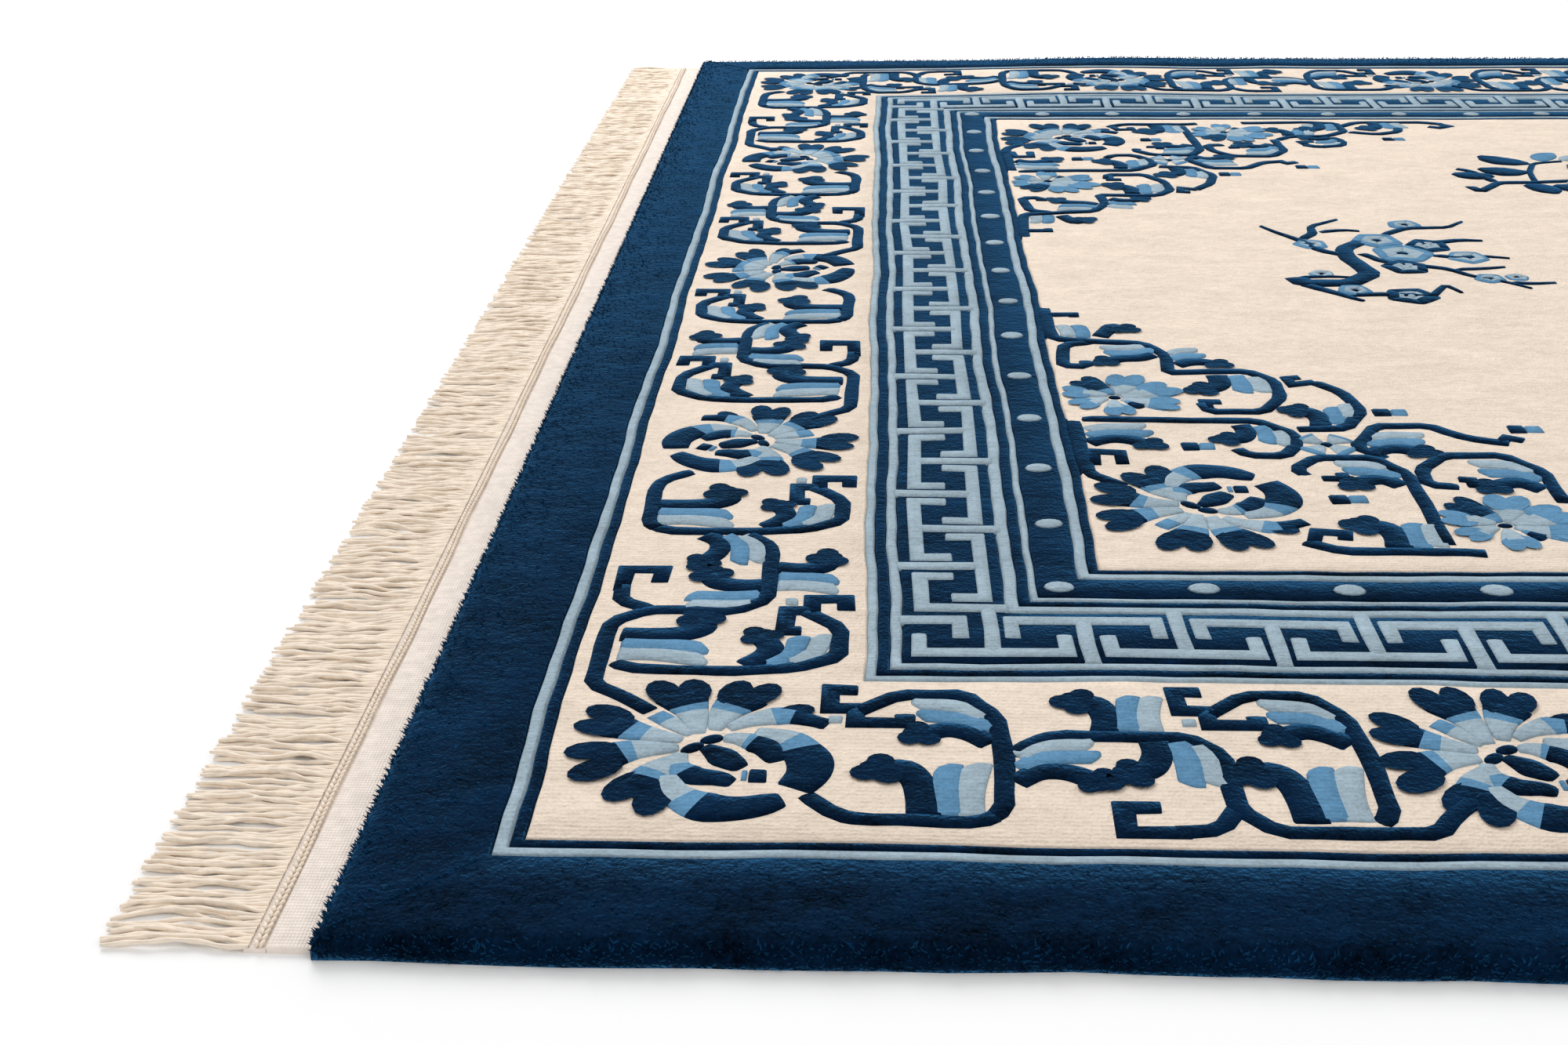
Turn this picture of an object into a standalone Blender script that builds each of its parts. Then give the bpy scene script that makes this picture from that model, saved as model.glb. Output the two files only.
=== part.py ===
"""A hand-knotted wool rug with a carved pile, a flat-woven band and a fringe at each end.

Metres, +Z up. The warp runs along X, so the fringes are at -X and +X. The rug lies flat on z = 0,
with its origin under its middle.
"""

import math

import bmesh
import bpy
from mathutils import Matrix, Vector

MM = 0.001

# Driving sizes of the knotted pile
PILE_LENGTH = 2800 * MM
PILE_WIDTH = 1830 * MM
PILE_HEIGHT = 11.5 * MM
GROOVE_WIDTH = 2.6 * MM
GROOVE_DEPTH = 2.2 * MM

# The pile's outer edge leans in and rounds over: how far in, and how high, each step reaches
EDGE_FOOT_HEIGHT = 6.5 * MM
EDGE_STEPS = (
    # inset, rise
    (1.4 * MM, 3.0 * MM),
    (2.6 * MM, 1.8 * MM),
    (5.0 * MM, 0.9 * MM),
)

# The bands of the border, from the pile's edge inwards. A groove is clipped where two colours meet.
BANDS = (
    # name, width, crown above PILE_HEIGHT
    ("plain_edge", 60.0 * MM, 0.6 * MM),
    ("outer_line_light", 6.5 * MM, 0.0 * MM),
    ("outer_line_dark", 6.2 * MM, 0.0 * MM),
    ("flower_border", 145.1 * MM, 0.0 * MM),
    ("middle_line_light", 5.5 * MM, 0.0 * MM),
    ("middle_line_dark", 6.6 * MM, 0.0 * MM),
    ("key_line_outer", 6.1 * MM, 0.0 * MM),
    ("key_border", 56.3 * MM, 0.0 * MM),
    ("key_line_inner", 7.5 * MM, 0.0 * MM),
    ("inner_line_dark", 6.4 * MM, 0.0 * MM),
    ("pearl_line_outer", 4.4 * MM, 0.0 * MM),
    ("pearl_border", 24.3 * MM, 0.0 * MM),
    ("pearl_line_inner", 6.6 * MM, 0.0 * MM),
    ("field_line_dark", 5.5 * MM, 0.0 * MM),
)

# Soft swells where the rug does not lie quite flat. Each one runs along a line on the floor.
SWELLS = (
    # x_from, y_from, x_to, y_to, half_width, height
    (-0.980, 0.740, -0.880, 0.930, 0.130, 3.6 * MM),
    (-0.700, 0.870, 1.150, 0.860, 0.050, 2.2 * MM),
    (-0.900, 0.700, 1.050, 0.690, 0.060, 1.6 * MM),
    (0.050, 0.330, 0.420, 0.520, 0.070, 1.2 * MM),
    (-1.330, -0.200, -0.980, -0.120, 0.060, 1.3 * MM),
)
SIDE_CUTS = 16

# The hand-made sides wander: how far, and how many times along the rug
SIDE_WANDER = (
    # reach, waves along the length, phase
    (2.2 * MM, 1.5, 0.4),
    (0.9 * MM, 4.5, 1.9),
)

# The flat-woven band and the fringe at each end
SEAM_GAP = 0.4 * MM
END_INSET = 4.0 * MM
KILIM_WIDTH = 18.6 * MM
KILIM_HEIGHT = 3.4 * MM
HEADING_WIDTH = 9.0 * MM
HEADING_HEIGHT = 2.8 * MM
TWINING_WIDTH = 3.4 * MM
TWINING_HEIGHT = 4.4 * MM
TWINING_SLOPE = 0.7 * MM
LOCK_LENGTH = 61.6 * MM
LOCKS_PER_END = 150
LOCK_FILL = 0.70
LOCK_STATIONS = (
    # share of the length, width share, height, sideways reach
    (0.45, 0.94, 2.8 * MM, 1.3 * MM),
    (1.00, 0.72, 2.4 * MM, 2.4 * MM),
)
LOCK_LENGTH_SPREAD = 0.10

MATERIALS = {
    # name: colour, roughness
    "wool_pile": ((0.012, 0.055, 0.150, 1.0), 0.85),
    "cotton_band": ((0.760, 0.690, 0.600, 1.0), 0.90),
    "cotton_fringe": ((0.720, 0.640, 0.540, 1.0), 0.90),
}


def clear_scene():
    for old in list(bpy.data.objects):
        bpy.data.objects.remove(old, do_unlink=True)


def make_materials():
    made = {}
    for name, (colour, roughness) in MATERIALS.items():
        material = bpy.data.materials.new(name)
        material.use_nodes = True
        shader = material.node_tree.nodes["Principled BSDF"]
        shader.inputs["Base Color"].default_value = colour
        shader.inputs["Roughness"].default_value = roughness
        shader.inputs["Metallic"].default_value = 0.0
        made[name] = material
    return made


def add_object(name, bm, material, collection):
    mesh = bpy.data.meshes.new(name)
    bm.to_mesh(mesh)
    bm.free()
    mesh.materials.append(material)
    made = bpy.data.objects.new(name, mesh)
    collection.objects.link(made)
    return made


def add_box(bm, centre, size):
    place = Matrix.Translation(centre) @ Matrix.Diagonal((*size, 1.0))
    bmesh.ops.create_cube(bm, size=1.0, matrix=place)
    bm.faces.ensure_lookup_table()


def step_in(bm, face, inset, rise):
    """Insets a level face by an even width and lifts what is left of it."""
    bmesh.ops.inset_region(bm, faces=[face], thickness=inset, depth=rise, use_even_offset=True)


def swell_height(x, y):
    """How far the soft swells lift the pile's surface at a place on the floor."""
    height = 0.0
    for x_from, y_from, x_to, y_to, half_width, rise in SWELLS:
        run = Vector((x_to - x_from, y_to - y_from))
        offset = Vector((x - x_from, y - y_from))
        share = min(1.0, max(0.0, offset.dot(run) / run.length_squared))
        distance = (offset - run * share).length
        height += rise * math.exp(-((distance / half_width) ** 2))
    return height


def side_drift(x):
    """How far the long sides wander outwards at a place along the rug, nothing at its ends."""
    along = x / PILE_LENGTH
    drift = 0.0
    for reach, waves, phase in SIDE_WANDER:
        drift += reach * math.sin(math.tau * waves * along + phase)
    return drift * math.cos(math.pi * along)


def make_uneven(bm):
    """Cuts the long edges into even parts, then lets the sides wander and the top swell."""
    level_edges = [edge for edge in bm.edges if is_along_a_side(edge)]
    bmesh.ops.subdivide_edges(bm, edges=level_edges, cuts=SIDE_CUTS, use_grid_fill=True)
    for vertex in bm.verts:
        x, y, z = vertex.co
        vertex.co.y += side_drift(x) * y / (PILE_WIDTH / 2)
        vertex.co.z += swell_height(x, y) * z / PILE_HEIGHT


def is_along_a_side(edge):
    run = edge.verts[1].co - edge.verts[0].co
    return max(abs(run.x), abs(run.y)) > 0.5 and min(abs(run.x), abs(run.y)) < 1e-6


def make_pile(material, collection):
    """The knotted body: a flat slab whose top is stepped in, band by band, with clipped grooves."""
    bm = bmesh.new()
    centre = Vector((0.0, 0.0, EDGE_FOOT_HEIGHT / 2))
    add_box(bm, centre, (PILE_LENGTH, PILE_WIDTH, EDGE_FOOT_HEIGHT))
    bm.normal_update()
    top = max(bm.faces, key=lambda face: face.normal.z)

    level = EDGE_FOOT_HEIGHT
    reached = 0.0
    for inset, rise in EDGE_STEPS:
        step_in(bm, top, inset, rise)
        level += rise
        reached += inset

    band_end = 0.0
    half_groove = GROOVE_WIDTH / 2
    for index, (_, width, crown) in enumerate(BANDS):
        band_end += width
        crown_level = PILE_HEIGHT + crown
        following = BANDS[index + 1][2] if index + 1 < len(BANDS) else 0.0
        next_level = PILE_HEIGHT + following
        floor_level = PILE_HEIGHT - GROOVE_DEPTH
        step_in(bm, top, band_end - half_groove - reached, crown_level - level)
        step_in(bm, top, half_groove, floor_level - crown_level)
        step_in(bm, top, half_groove, next_level - floor_level)
        level = next_level
        reached = band_end + half_groove
    make_uneven(bm)
    return add_object("pile_body", bm, material, collection)


def make_kilim(name, side, material, collection):
    """The plain-woven cotton band past the pile, on the side of X that is given."""
    bm = bmesh.new()
    near = PILE_LENGTH / 2 + SEAM_GAP
    centre = Vector((side * (near + KILIM_WIDTH / 2), 0.0, KILIM_HEIGHT / 2))
    add_box(bm, centre, (KILIM_WIDTH, PILE_WIDTH - 2 * END_INSET, KILIM_HEIGHT))
    return add_object(name, bm, material, collection)


def lock_sway(index):
    """A sideways drift that comes and goes along the fringe, from -1 to 1."""
    return 0.6 * math.sin(0.9 * index) + 0.4 * math.sin(2.3 * index + 0.7)


def lock_reach(index):
    """How long a lock is, as a share of LOCK_LENGTH: never over 1."""
    return 1.0 - LOCK_LENGTH_SPREAD * (0.5 + 0.5 * math.sin(1.7 * index + 0.4 * math.sin(index)))


def make_heading(bm, side, edge_ys):
    """The twined line and the flat band past it, whose outer face is cut into one face per step of Y."""
    root_x = PILE_LENGTH / 2 + 2 * SEAM_GAP + KILIM_WIDTH
    face_x = root_x + HEADING_WIDTH
    inner_profile = (
        # x, z
        (root_x, 0.0),
        (root_x, TWINING_HEIGHT),
        (root_x + TWINING_WIDTH, TWINING_HEIGHT),
        (root_x + TWINING_WIDTH + TWINING_SLOPE, HEADING_HEIGHT),
    )
    lows = [bm.verts.new((side * face_x, y, 0.0)) for y in edge_ys]
    highs = [bm.verts.new((side * face_x, y, HEADING_HEIGHT)) for y in edge_ys]
    starts = [bm.verts.new((side * x, edge_ys[0], z)) for x, z in inner_profile]
    ends = [bm.verts.new((side * x, edge_ys[-1], z)) for x, z in inner_profile]
    for a, b, c, d in zip(starts, starts[1:], ends[1:], ends):
        bm.faces.new((a, b, c, d))
    bm.faces.new(starts + [highs[0], lows[0]])
    bm.faces.new(ends + [highs[-1], lows[-1]])
    bm.faces.new(highs + [ends[-1], starts[-1]])
    bm.faces.new(lows + [ends[0], starts[0]])
    outer = []
    for a, b, c, d in zip(lows, lows[1:], highs[1:], highs):
        outer.append(bm.faces.new((a, b, c, d)))
    bmesh.ops.recalc_face_normals(bm, faces=bm.faces[:])
    return outer, face_x


def make_fringe(name, side, material, collection):
    """The twined heading with its locks of warp yarn, all grown from the heading's outer face."""
    bm = bmesh.new()
    width = PILE_WIDTH - 2 * END_INSET
    pitch = width / LOCKS_PER_END
    lock_width = pitch * LOCK_FILL

    # The outer face's edge points: the heading's two ends and both sides of each lock
    edge_ys = [-width / 2]
    for index in range(LOCKS_PER_END):
        middle = -width / 2 + (index + 0.5) * pitch
        edge_ys += [middle - lock_width / 2, middle + lock_width / 2]
    edge_ys.append(width / 2)
    outer, face_x = make_heading(bm, side, edge_ys)

    # Every second face of the outer row is a lock's root
    for index, face in enumerate(outer[1::2]):
        middle = -width / 2 + (index + 0.5) * pitch
        reach = LOCK_LENGTH * lock_reach(index)
        for share, width_share, height, sway in LOCK_STATIONS:
            face = bmesh.ops.extrude_discrete_faces(bm, faces=[face])["faces"][0]
            half = lock_width * width_share / 2
            moved_middle = middle + sway * lock_sway(index)
            right_side = sorted(face.verts, key=lambda vertex: vertex.co.y)[2:]
            for vertex in face.verts:
                vertex.co.x = side * (face_x + reach * share)
                vertex.co.z = height if vertex.co.z > 0.0 else 0.0
                vertex.co.y = moved_middle + (half if vertex in right_side else -half)
    return add_object(name, bm, material, collection)


def main():
    clear_scene()
    collection = bpy.data.collections.new("hand_knotted_rug")
    bpy.context.scene.collection.children.link(collection)
    materials = make_materials()
    make_pile(materials["wool_pile"], collection)
    for word, side in (("left", -1.0), ("right", 1.0)):
        make_kilim(f"kilim_{word}", side, materials["cotton_band"], collection)
        make_fringe(f"fringe_{word}", side, materials["cotton_fringe"], collection)


main()
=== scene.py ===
"""The look of a hand-knotted wool rug with a carved pattern, shot from low down at one corner.

Metres, +Z up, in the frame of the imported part. Pattern tables are in millimetres.
"""

import math

import bmesh
import bpy
import numpy as np
from mathutils import Matrix, Vector

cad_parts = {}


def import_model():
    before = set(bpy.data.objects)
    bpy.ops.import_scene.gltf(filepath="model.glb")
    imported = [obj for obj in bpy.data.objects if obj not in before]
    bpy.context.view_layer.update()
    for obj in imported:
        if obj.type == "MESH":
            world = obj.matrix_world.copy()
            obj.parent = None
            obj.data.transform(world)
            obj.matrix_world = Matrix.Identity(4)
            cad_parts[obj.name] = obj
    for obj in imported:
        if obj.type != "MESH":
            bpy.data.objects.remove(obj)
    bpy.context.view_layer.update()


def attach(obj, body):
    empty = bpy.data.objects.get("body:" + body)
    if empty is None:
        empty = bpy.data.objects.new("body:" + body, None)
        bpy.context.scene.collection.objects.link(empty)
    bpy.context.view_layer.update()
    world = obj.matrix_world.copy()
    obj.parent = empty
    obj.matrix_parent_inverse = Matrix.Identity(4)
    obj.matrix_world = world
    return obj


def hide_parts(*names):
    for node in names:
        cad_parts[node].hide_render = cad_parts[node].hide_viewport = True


MM = 0.001

# The pile: its size, swells, wandering sides and the bands' widths are the solid's
PILE_LENGTH = 2800 * MM
PILE_WIDTH = 1830 * MM
PILE_HEIGHT = 11.5 * MM
GROOVE_WIDTH = 2.6 * MM
GROOVE_DEPTH = 2.4 * MM
SHOULDER_DROP = 0.5 * MM
EDGE_FOOT_HEIGHT = 4.5 * MM
EDGE_STEPS = (
    # inset, rise
    (0.8 * MM, 2.4 * MM),
    (1.2 * MM, 1.9 * MM),
    (2.0 * MM, 1.5 * MM),
    (3.2 * MM, 0.9 * MM),
    (5.0 * MM, 0.5 * MM),
)
SIDE_CUTS = 110
KEY_BAND = 56.3
RING_WIDTH = 24 * MM
BANDS = (
    # wool, width, crown above PILE_HEIGHT
    ("navy", 60.0 * MM, 0.6 * MM),
    ("light", 6.5 * MM, 0.3 * MM),
    ("navy", 6.2 * MM, 0.1 * MM),
    ("ivory", 145.1 * MM, 0.0 * MM),
    ("light", 5.5 * MM, 0.2 * MM),
    ("navy", 6.6 * MM, 0.1 * MM),
    ("light", 6.1 * MM, 0.3 * MM),
    ("navy", KEY_BAND * MM, 0.0 * MM),
    ("light", 7.5 * MM, 0.3 * MM),
    ("navy", 6.4 * MM, 0.1 * MM),
    ("light", 4.4 * MM, 0.2 * MM),
    ("navy", 24.3 * MM, 0.1 * MM),
    ("light", 6.6 * MM, 0.3 * MM),
    ("navy", 5.5 * MM, 0.1 * MM),
    ("ivory", 0.0 * MM, 0.0 * MM),
)
SWELLS = (
    # x_from, y_from, x_to, y_to, half_width, height
    (-0.980, 0.740, -0.880, 0.930, 0.130, 3.6 * MM),
    (-0.700, 0.870, 1.150, 0.860, 0.050, 2.2 * MM),
    (-0.900, 0.700, 1.050, 0.690, 0.060, 1.6 * MM),
    (0.050, 0.330, 0.420, 0.520, 0.070, 1.2 * MM),
    (-1.330, -0.200, -0.980, -0.120, 0.060, 1.3 * MM),
)
SIDE_WANDER = (
    # reach, waves along the length, phase
    (2.2 * MM, 1.5, 0.4),
    (0.9 * MM, 4.5, 1.9),
)
HAND_WOBBLE = (
    # reach, wave along X, wave along Y, phase
    (0.9 * MM, 0.410, 0.330, 0.3),
    (0.5 * MM, 0.170, -0.210, 1.1),
    (0.3 * MM, 0.083, 0.097, 2.6),
    (0.3 * MM, -0.041, 0.047, 4.0),
)

# Carved motifs stand a little proud of the ground, with rounded shoulders
MOTIF_RISE = 0.75 * MM
MOTIF_CROWN = 0.45 * MM
MOTIF_SINK = 0.9 * MM
SHOULDER = 1.5 * MM
SINK_SPREAD = 0.7
STEM_HALF = 4.8
CORNER_CUT = 4.5
LONGEST_STEP = 13.0
LOBE_STRETCH = 1.6
LOBE_STEP = 0.05

# Key border, in rows: eight rows fill its band
KEY_ROW = KEY_BAND / 8
KEY_HALF = KEY_ROW * 0.60
KEY_LOW = 1.5
KEY_HIGH = 6.5
KEY_ARM = 5.4
KEY_HOOK = 2.8
KEY_TOP = 8.53
KEY_LENGTH = 14 * KEY_ROW
KEY_LEAD_LONG = 6.6

# Loose wool ends, in millimetres and counts for each metre
TUFT_ROOT = 0.68
TUFT_TIP = 0.1
EDGE_TUFTS = 2100
EDGE_TUFT_LENGTH = 4.0
BAND_TUFTS = 2000
BAND_TUFT_LENGTH = 2.5

# End finish
SEAM_GAP = 0.4 * MM
END_INSET = 4.0 * MM
END_WIDTH = PILE_WIDTH - 2 * END_INSET
KILIM_WIDTH = 18.6 * MM
KILIM_HEIGHT = 3.4 * MM
KILIM_DIP = 0.35 * MM
HEADING_START = PILE_LENGTH / 2 + 2 * SEAM_GAP + KILIM_WIDTH
HEADING_WIDTH = 9.0 * MM
HEADING_HEIGHT = 2.0 * MM
STRAND_LENGTH = 61.6 * MM
STRANDS_PER_END = 760
STRAND_RADIUS = 1.15 * MM
STRAND_STEPS = 18
STRAND_SIDES = 5
STRAND_TWISTS = 7.0
STRAND_HELD = 2.0 * MM
STRAND_LIFT = 1.7 * MM
FRINGE_SPREAD = 2.0 * MM
OWN_LEAN = 1.3 * MM
BUNCH_LEAN = 1.4 * MM
BUNCH_CURL = 1.2 * MM
STRAND_WAVES = (
    # waves, sway
    (4.5, 1.1 * MM),
    (9.5, 0.6 * MM),
    (17.0, 0.22 * MM),
)
STITCHES = 460
STITCH_ROWS = (
    # away from the end band, slant
    (1.9 * MM, -0.55),
    (4.1 * MM, 0.55),
)
STITCH_HEIGHT = 3.35 * MM

WOOLS = ("navy", "mid", "light", "ivory")
WOOL_LOOKS = {
    # name: linear colour, mottle (painted nap sheen and fibre grain), ribs, sheen
    "navy": ((0.0010, 0.0085, 0.0260, 1.0), 0.60, 0.05, 0.640),
    "mid": ((0.1050, 0.2450, 0.4000, 1.0), 0.12, 0.50, 0.03),
    "light": ((0.3150, 0.4080, 0.4700, 1.0), 0.10, 0.50, 0.05),
    "ivory": ((0.7500, 0.6350, 0.5300, 1.0), 0.03, 0.55, 0.01),
}
COTTON = (0.8800, 0.7800, 0.7000, 1.0)
STRAND_COTTON = (0.9200, 0.7950, 0.6600, 1.0)
# Painted highlight: the tufts' navy is lighter than the pile's, as lit fibre tips
LIT_TIP_COLOUR = (0.0040, 0.0340, 0.0880, 1.0)
SHEEN_TINT = (0.0900, 0.4600, 1.0000, 1.0)
SHEEN_ROUGHNESS = 0.30
CLOTH_ROUGHNESS = 0.92
CLOTH_SPECULAR = 0.02

FLOOR_COLOUR = (0.93, 0.93, 0.93, 1.0)
FLOOR_ROUGHNESS = 0.9
FLOOR_SPECULAR = 0.1
WORLD_COLOUR = (1.0, 1.0, 1.0, 1.0)
WORLD_STRENGTH = 0.74
LIGHTS = (
    # name, place, size, power, target
    ("key", (-2.6, 2.6, 2.6), 2.5, 114.0, (-0.6, -0.3, 0.0)),
    ("fill", (2.0, -3.0, 2.6), 3.0, 25.0, (-0.4, -0.3, 0.0)),
)
CAMERA_PLACE = (-1.1762, -1.5401, 0.4711)
CAMERA_PITCH = 23.99
CAMERA_YAW = -3.02
CAMERA_ROLL = -0.76
CAMERA_LENS = 44.56
CAMERA_SENSOR = 36.0
CAMERA_NEAREST = 0.05


# Shared surface of the rug

def swell_height(x, y):
    """The soft swells' height at places on the floor, given as arrays."""
    height = np.zeros_like(x)
    for x_from, y_from, x_to, y_to, half_width, rise in SWELLS:
        run_x = x_to - x_from
        run_y = y_to - y_from
        share = ((x - x_from) * run_x + (y - y_from) * run_y) / (run_x**2 + run_y**2)
        share = np.clip(share, 0.0, 1.0)
        away = np.hypot(x - x_from - share * run_x, y - y_from - share * run_y)
        height += rise * np.exp(-((away / half_width) ** 2))
    return height


def side_drift(x):
    along = x / PILE_LENGTH
    drift = np.zeros_like(x)
    for reach, waves, phase in SIDE_WANDER:
        drift += reach * np.sin(math.tau * waves * along + phase)
    return drift * np.cos(np.clip(math.pi * along, -math.pi / 2, math.pi / 2))


def hand_wobble(x, y):
    """The small wandering of hand-knotted lines, none at the ends of the pile."""
    calm = np.clip((PILE_LENGTH / 2 - np.abs(x)) / 0.02, 0.0, 1.0)
    shift_x = np.zeros_like(x)
    shift_y = np.zeros_like(x)
    for reach, wave_x, wave_y, phase in HAND_WOBBLE:
        turn = math.tau * (x / wave_x + y / wave_y) + phase
        shift_x += reach * np.sin(turn)
        shift_y += reach * np.cos(1.13 * turn + 0.7)
    return shift_x * calm, shift_y * calm


def lay_on_rug(mesh):
    """Moves a mesh's points with the rug: its side drift, hand wobble and swells."""
    count = len(mesh.vertices)
    points = np.empty(count * 3, np.float32)
    mesh.vertices.foreach_get("co", points)
    points = points.reshape(count, 3).astype(float)
    x = points[:, 0].copy()
    y = points[:, 1].copy()
    z = points[:, 2].copy()
    shift_x, shift_y = hand_wobble(x, y)
    points[:, 0] += shift_x
    points[:, 1] += shift_y + side_drift(x) * y / (PILE_WIDTH / 2)
    points[:, 2] += swell_height(x, y) * z / PILE_HEIGHT
    mesh.vertices.foreach_set("co", points.astype(np.float32).ravel())
    mesh.update()


# Materials

def new_group(name, inputs, outputs):
    group = bpy.data.node_groups.new(name, "ShaderNodeTree")
    for socket_name, kind in inputs:
        group.interface.new_socket(name=socket_name, in_out="INPUT", socket_type=kind)
    for socket_name, kind in outputs:
        group.interface.new_socket(name=socket_name, in_out="OUTPUT", socket_type=kind)
    enter = group.nodes.new("NodeGroupInput")
    leave = group.nodes.new("NodeGroupOutput")
    return group, enter, leave


def add_noise(tree, source, scale, detail, stretch):
    mapping = tree.nodes.new("ShaderNodeMapping")
    mapping.inputs["Scale"].default_value = stretch
    tree.links.new(source, mapping.inputs["Vector"])
    noise = tree.nodes.new("ShaderNodeTexNoise")
    noise.inputs["Scale"].default_value = scale
    noise.inputs["Detail"].default_value = detail
    tree.links.new(mapping.outputs["Vector"], noise.inputs["Vector"])
    return noise.outputs["Fac"]


def add_math(tree, operation, first, second):
    node = tree.nodes.new("ShaderNodeMath")
    node.operation = operation
    for socket, value in zip(node.inputs, (first, second)):
        if isinstance(value, (int, float)):
            socket.default_value = value
        else:
            tree.links.new(value, socket)
    return node.outputs[0]


def add_range(tree, source, low, high):
    node = tree.nodes.new("ShaderNodeMapRange")
    node.inputs["From Min"].default_value = 0.3
    node.inputs["From Max"].default_value = 0.7
    node.inputs["To Min"].default_value = low
    node.inputs["To Max"].default_value = high
    tree.links.new(source, node.inputs["Value"])
    return node.outputs["Result"]


def add_sum(tree, parts):
    """Adds up (value, weight) pairs."""
    total = None
    for value, weight in parts:
        weighted = add_math(tree, "MULTIPLY", value, weight)
        total = weighted if total is None else add_math(tree, "ADD", total, weighted)
    return total


def finish_group(group, enter, leave, bright, height, strength, distance):
    """Puts out the colour made brighter or darker, and the height as a bumped normal."""
    scaled = group.nodes.new("ShaderNodeVectorMath")
    scaled.operation = "SCALE"
    group.links.new(enter.outputs["Colour"], scaled.inputs[0])
    group.links.new(bright, scaled.inputs["Scale"])
    group.links.new(scaled.outputs[0], leave.inputs["Colour"])
    bump = group.nodes.new("ShaderNodeBump")
    bump.inputs["Strength"].default_value = strength
    bump.inputs["Distance"].default_value = distance
    group.links.new(height, bump.inputs["Height"])
    group.links.new(bump.outputs["Normal"], leave.inputs["Normal"])


def make_wool_group():
    """Clipped wool: knot ribs along X, fine fibre, painted sheen where the nap leans either way, and painted
    shade along the motifs' sunk edges.
    """
    group, enter, leave = new_group(
        "clipped_wool",
        (("Colour", "NodeSocketColor"), ("Mottle", "NodeSocketFloat"), ("Ribs", "NodeSocketFloat")),
        (("Colour", "NodeSocketColor"), ("Normal", "NodeSocketVector")),
    )
    place = group.nodes.new("ShaderNodeTexCoord").outputs["Object"]
    fibre = add_noise(group, place, 620.0, 3.0, (1.0, 0.75, 1.0))
    tuft = add_noise(group, place, 210.0, 2.0, (0.75, 1.15, 1.0))
    nap = add_noise(group, place, 21.0, 6.0, (1.0, 1.5, 1.0))
    streak = add_noise(group, place, 60.0, 3.0, (0.5, 1.4, 1.0))
    rib = group.nodes.new("ShaderNodeTexWave")
    rib.bands_direction = "Y"
    rib.inputs["Scale"].default_value = 98.0
    rib.inputs["Distortion"].default_value = 2.2
    rib.inputs["Detail"].default_value = 2.0
    rib.inputs["Detail Scale"].default_value = 1.4
    group.links.new(place, rib.inputs["Vector"])

    # Painted sheen: large lighter and darker areas where the nap leans either way, as strong as Mottle sets
    nap_sheen = add_range(group, nap, -1.0, 1.0)
    nap_sheen = add_math(group, "MULTIPLY", nap_sheen, enter.outputs["Mottle"])
    grain = add_math(group, "ADD", add_math(group, "MULTIPLY", enter.outputs["Mottle"], 0.42), 0.05)
    fine = add_math(group, "MULTIPLY", add_range(group, tuft, -1.0, 1.0), grain)
    finest = add_math(group, "MULTIPLY", add_range(group, fibre, -1.1, 1.1), grain)
    lines = add_range(group, streak, -0.05, 0.05)
    ribs = add_math(group, "MULTIPLY", rib.outputs["Fac"], enter.outputs["Ribs"])
    weave = add_math(group, "MULTIPLY", ribs, 0.07)
    bright = add_math(group, "ADD", nap_sheen, 1.0)
    for part in (fine, finest, lines, weave):
        bright = add_math(group, "ADD", bright, part)
    # Painted shade: the colour darkens along the motifs' sunk edges, where the carving's shadow falls
    rim_shade = group.nodes.new("ShaderNodeAttribute")
    rim_shade.attribute_name = "rim_shade"
    rim_painted_shade = add_math(group, "MULTIPLY", rim_shade.outputs["Fac"], -0.55)
    bright = add_math(group, "ADD", bright, rim_painted_shade)
    bright = add_math(group, "MAXIMUM", bright, 0.12)
    height = add_sum(group, ((ribs, 0.35), (nap, 2.5), (fibre, 0.9), (tuft, 1.0)))
    finish_group(group, enter, leave, bright, height, 0.8, 1.1 * MM)
    return group


def make_cotton_group():
    """Plain cotton: a fine over-and-under weave with small slubs."""
    group, enter, leave = new_group(
        "plain_cotton",
        (("Colour", "NodeSocketColor"), ("Weave", "NodeSocketFloat")),
        (("Colour", "NodeSocketColor"), ("Normal", "NodeSocketVector")),
    )
    place = group.nodes.new("ShaderNodeTexCoord").outputs["Object"]
    heights = []
    for direction, scale in (("X", 210.0), ("Y", 150.0)):
        wave = group.nodes.new("ShaderNodeTexWave")
        wave.bands_direction = direction
        wave.inputs["Scale"].default_value = scale
        wave.inputs["Distortion"].default_value = 0.8
        group.links.new(place, wave.inputs["Vector"])
        heights.append(wave.outputs["Fac"])
    slub = add_noise(group, place, 180.0, 3.0, (1.0, 1.0, 1.0))
    woven = add_math(group, "MULTIPLY", heights[0], heights[1])
    woven = add_math(group, "MULTIPLY", woven, enter.outputs["Weave"])
    threads = add_math(group, "MULTIPLY", woven, 0.10)
    bright = add_math(group, "ADD", add_range(group, slub, 0.88, 1.04), threads)
    finish_group(group, enter, leave, bright, add_math(group, "ADD", woven, slub), 0.7, 0.6 * MM)
    return group


def make_cloth_material(name, group, colour, settings, sheen):
    material = bpy.data.materials.new(name)
    material.use_nodes = True
    tree = material.node_tree
    shader = tree.nodes["Principled BSDF"]
    shader.inputs["Roughness"].default_value = CLOTH_ROUGHNESS
    shader.inputs["Specular IOR Level"].default_value = CLOTH_SPECULAR
    shader.inputs["Sheen Weight"].default_value = sheen
    shader.inputs["Sheen Roughness"].default_value = SHEEN_ROUGHNESS
    shader.inputs["Sheen Tint"].default_value = SHEEN_TINT
    used = tree.nodes.new("ShaderNodeGroup")
    used.node_tree = group
    used.inputs["Colour"].default_value = colour
    for setting, value in settings.items():
        used.inputs[setting].default_value = value
    tree.links.new(used.outputs["Colour"], shader.inputs["Base Color"])
    tree.links.new(used.outputs["Normal"], shader.inputs["Normal"])
    return material


# Strokes: every motif is drawn with strips that bend along a path

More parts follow.
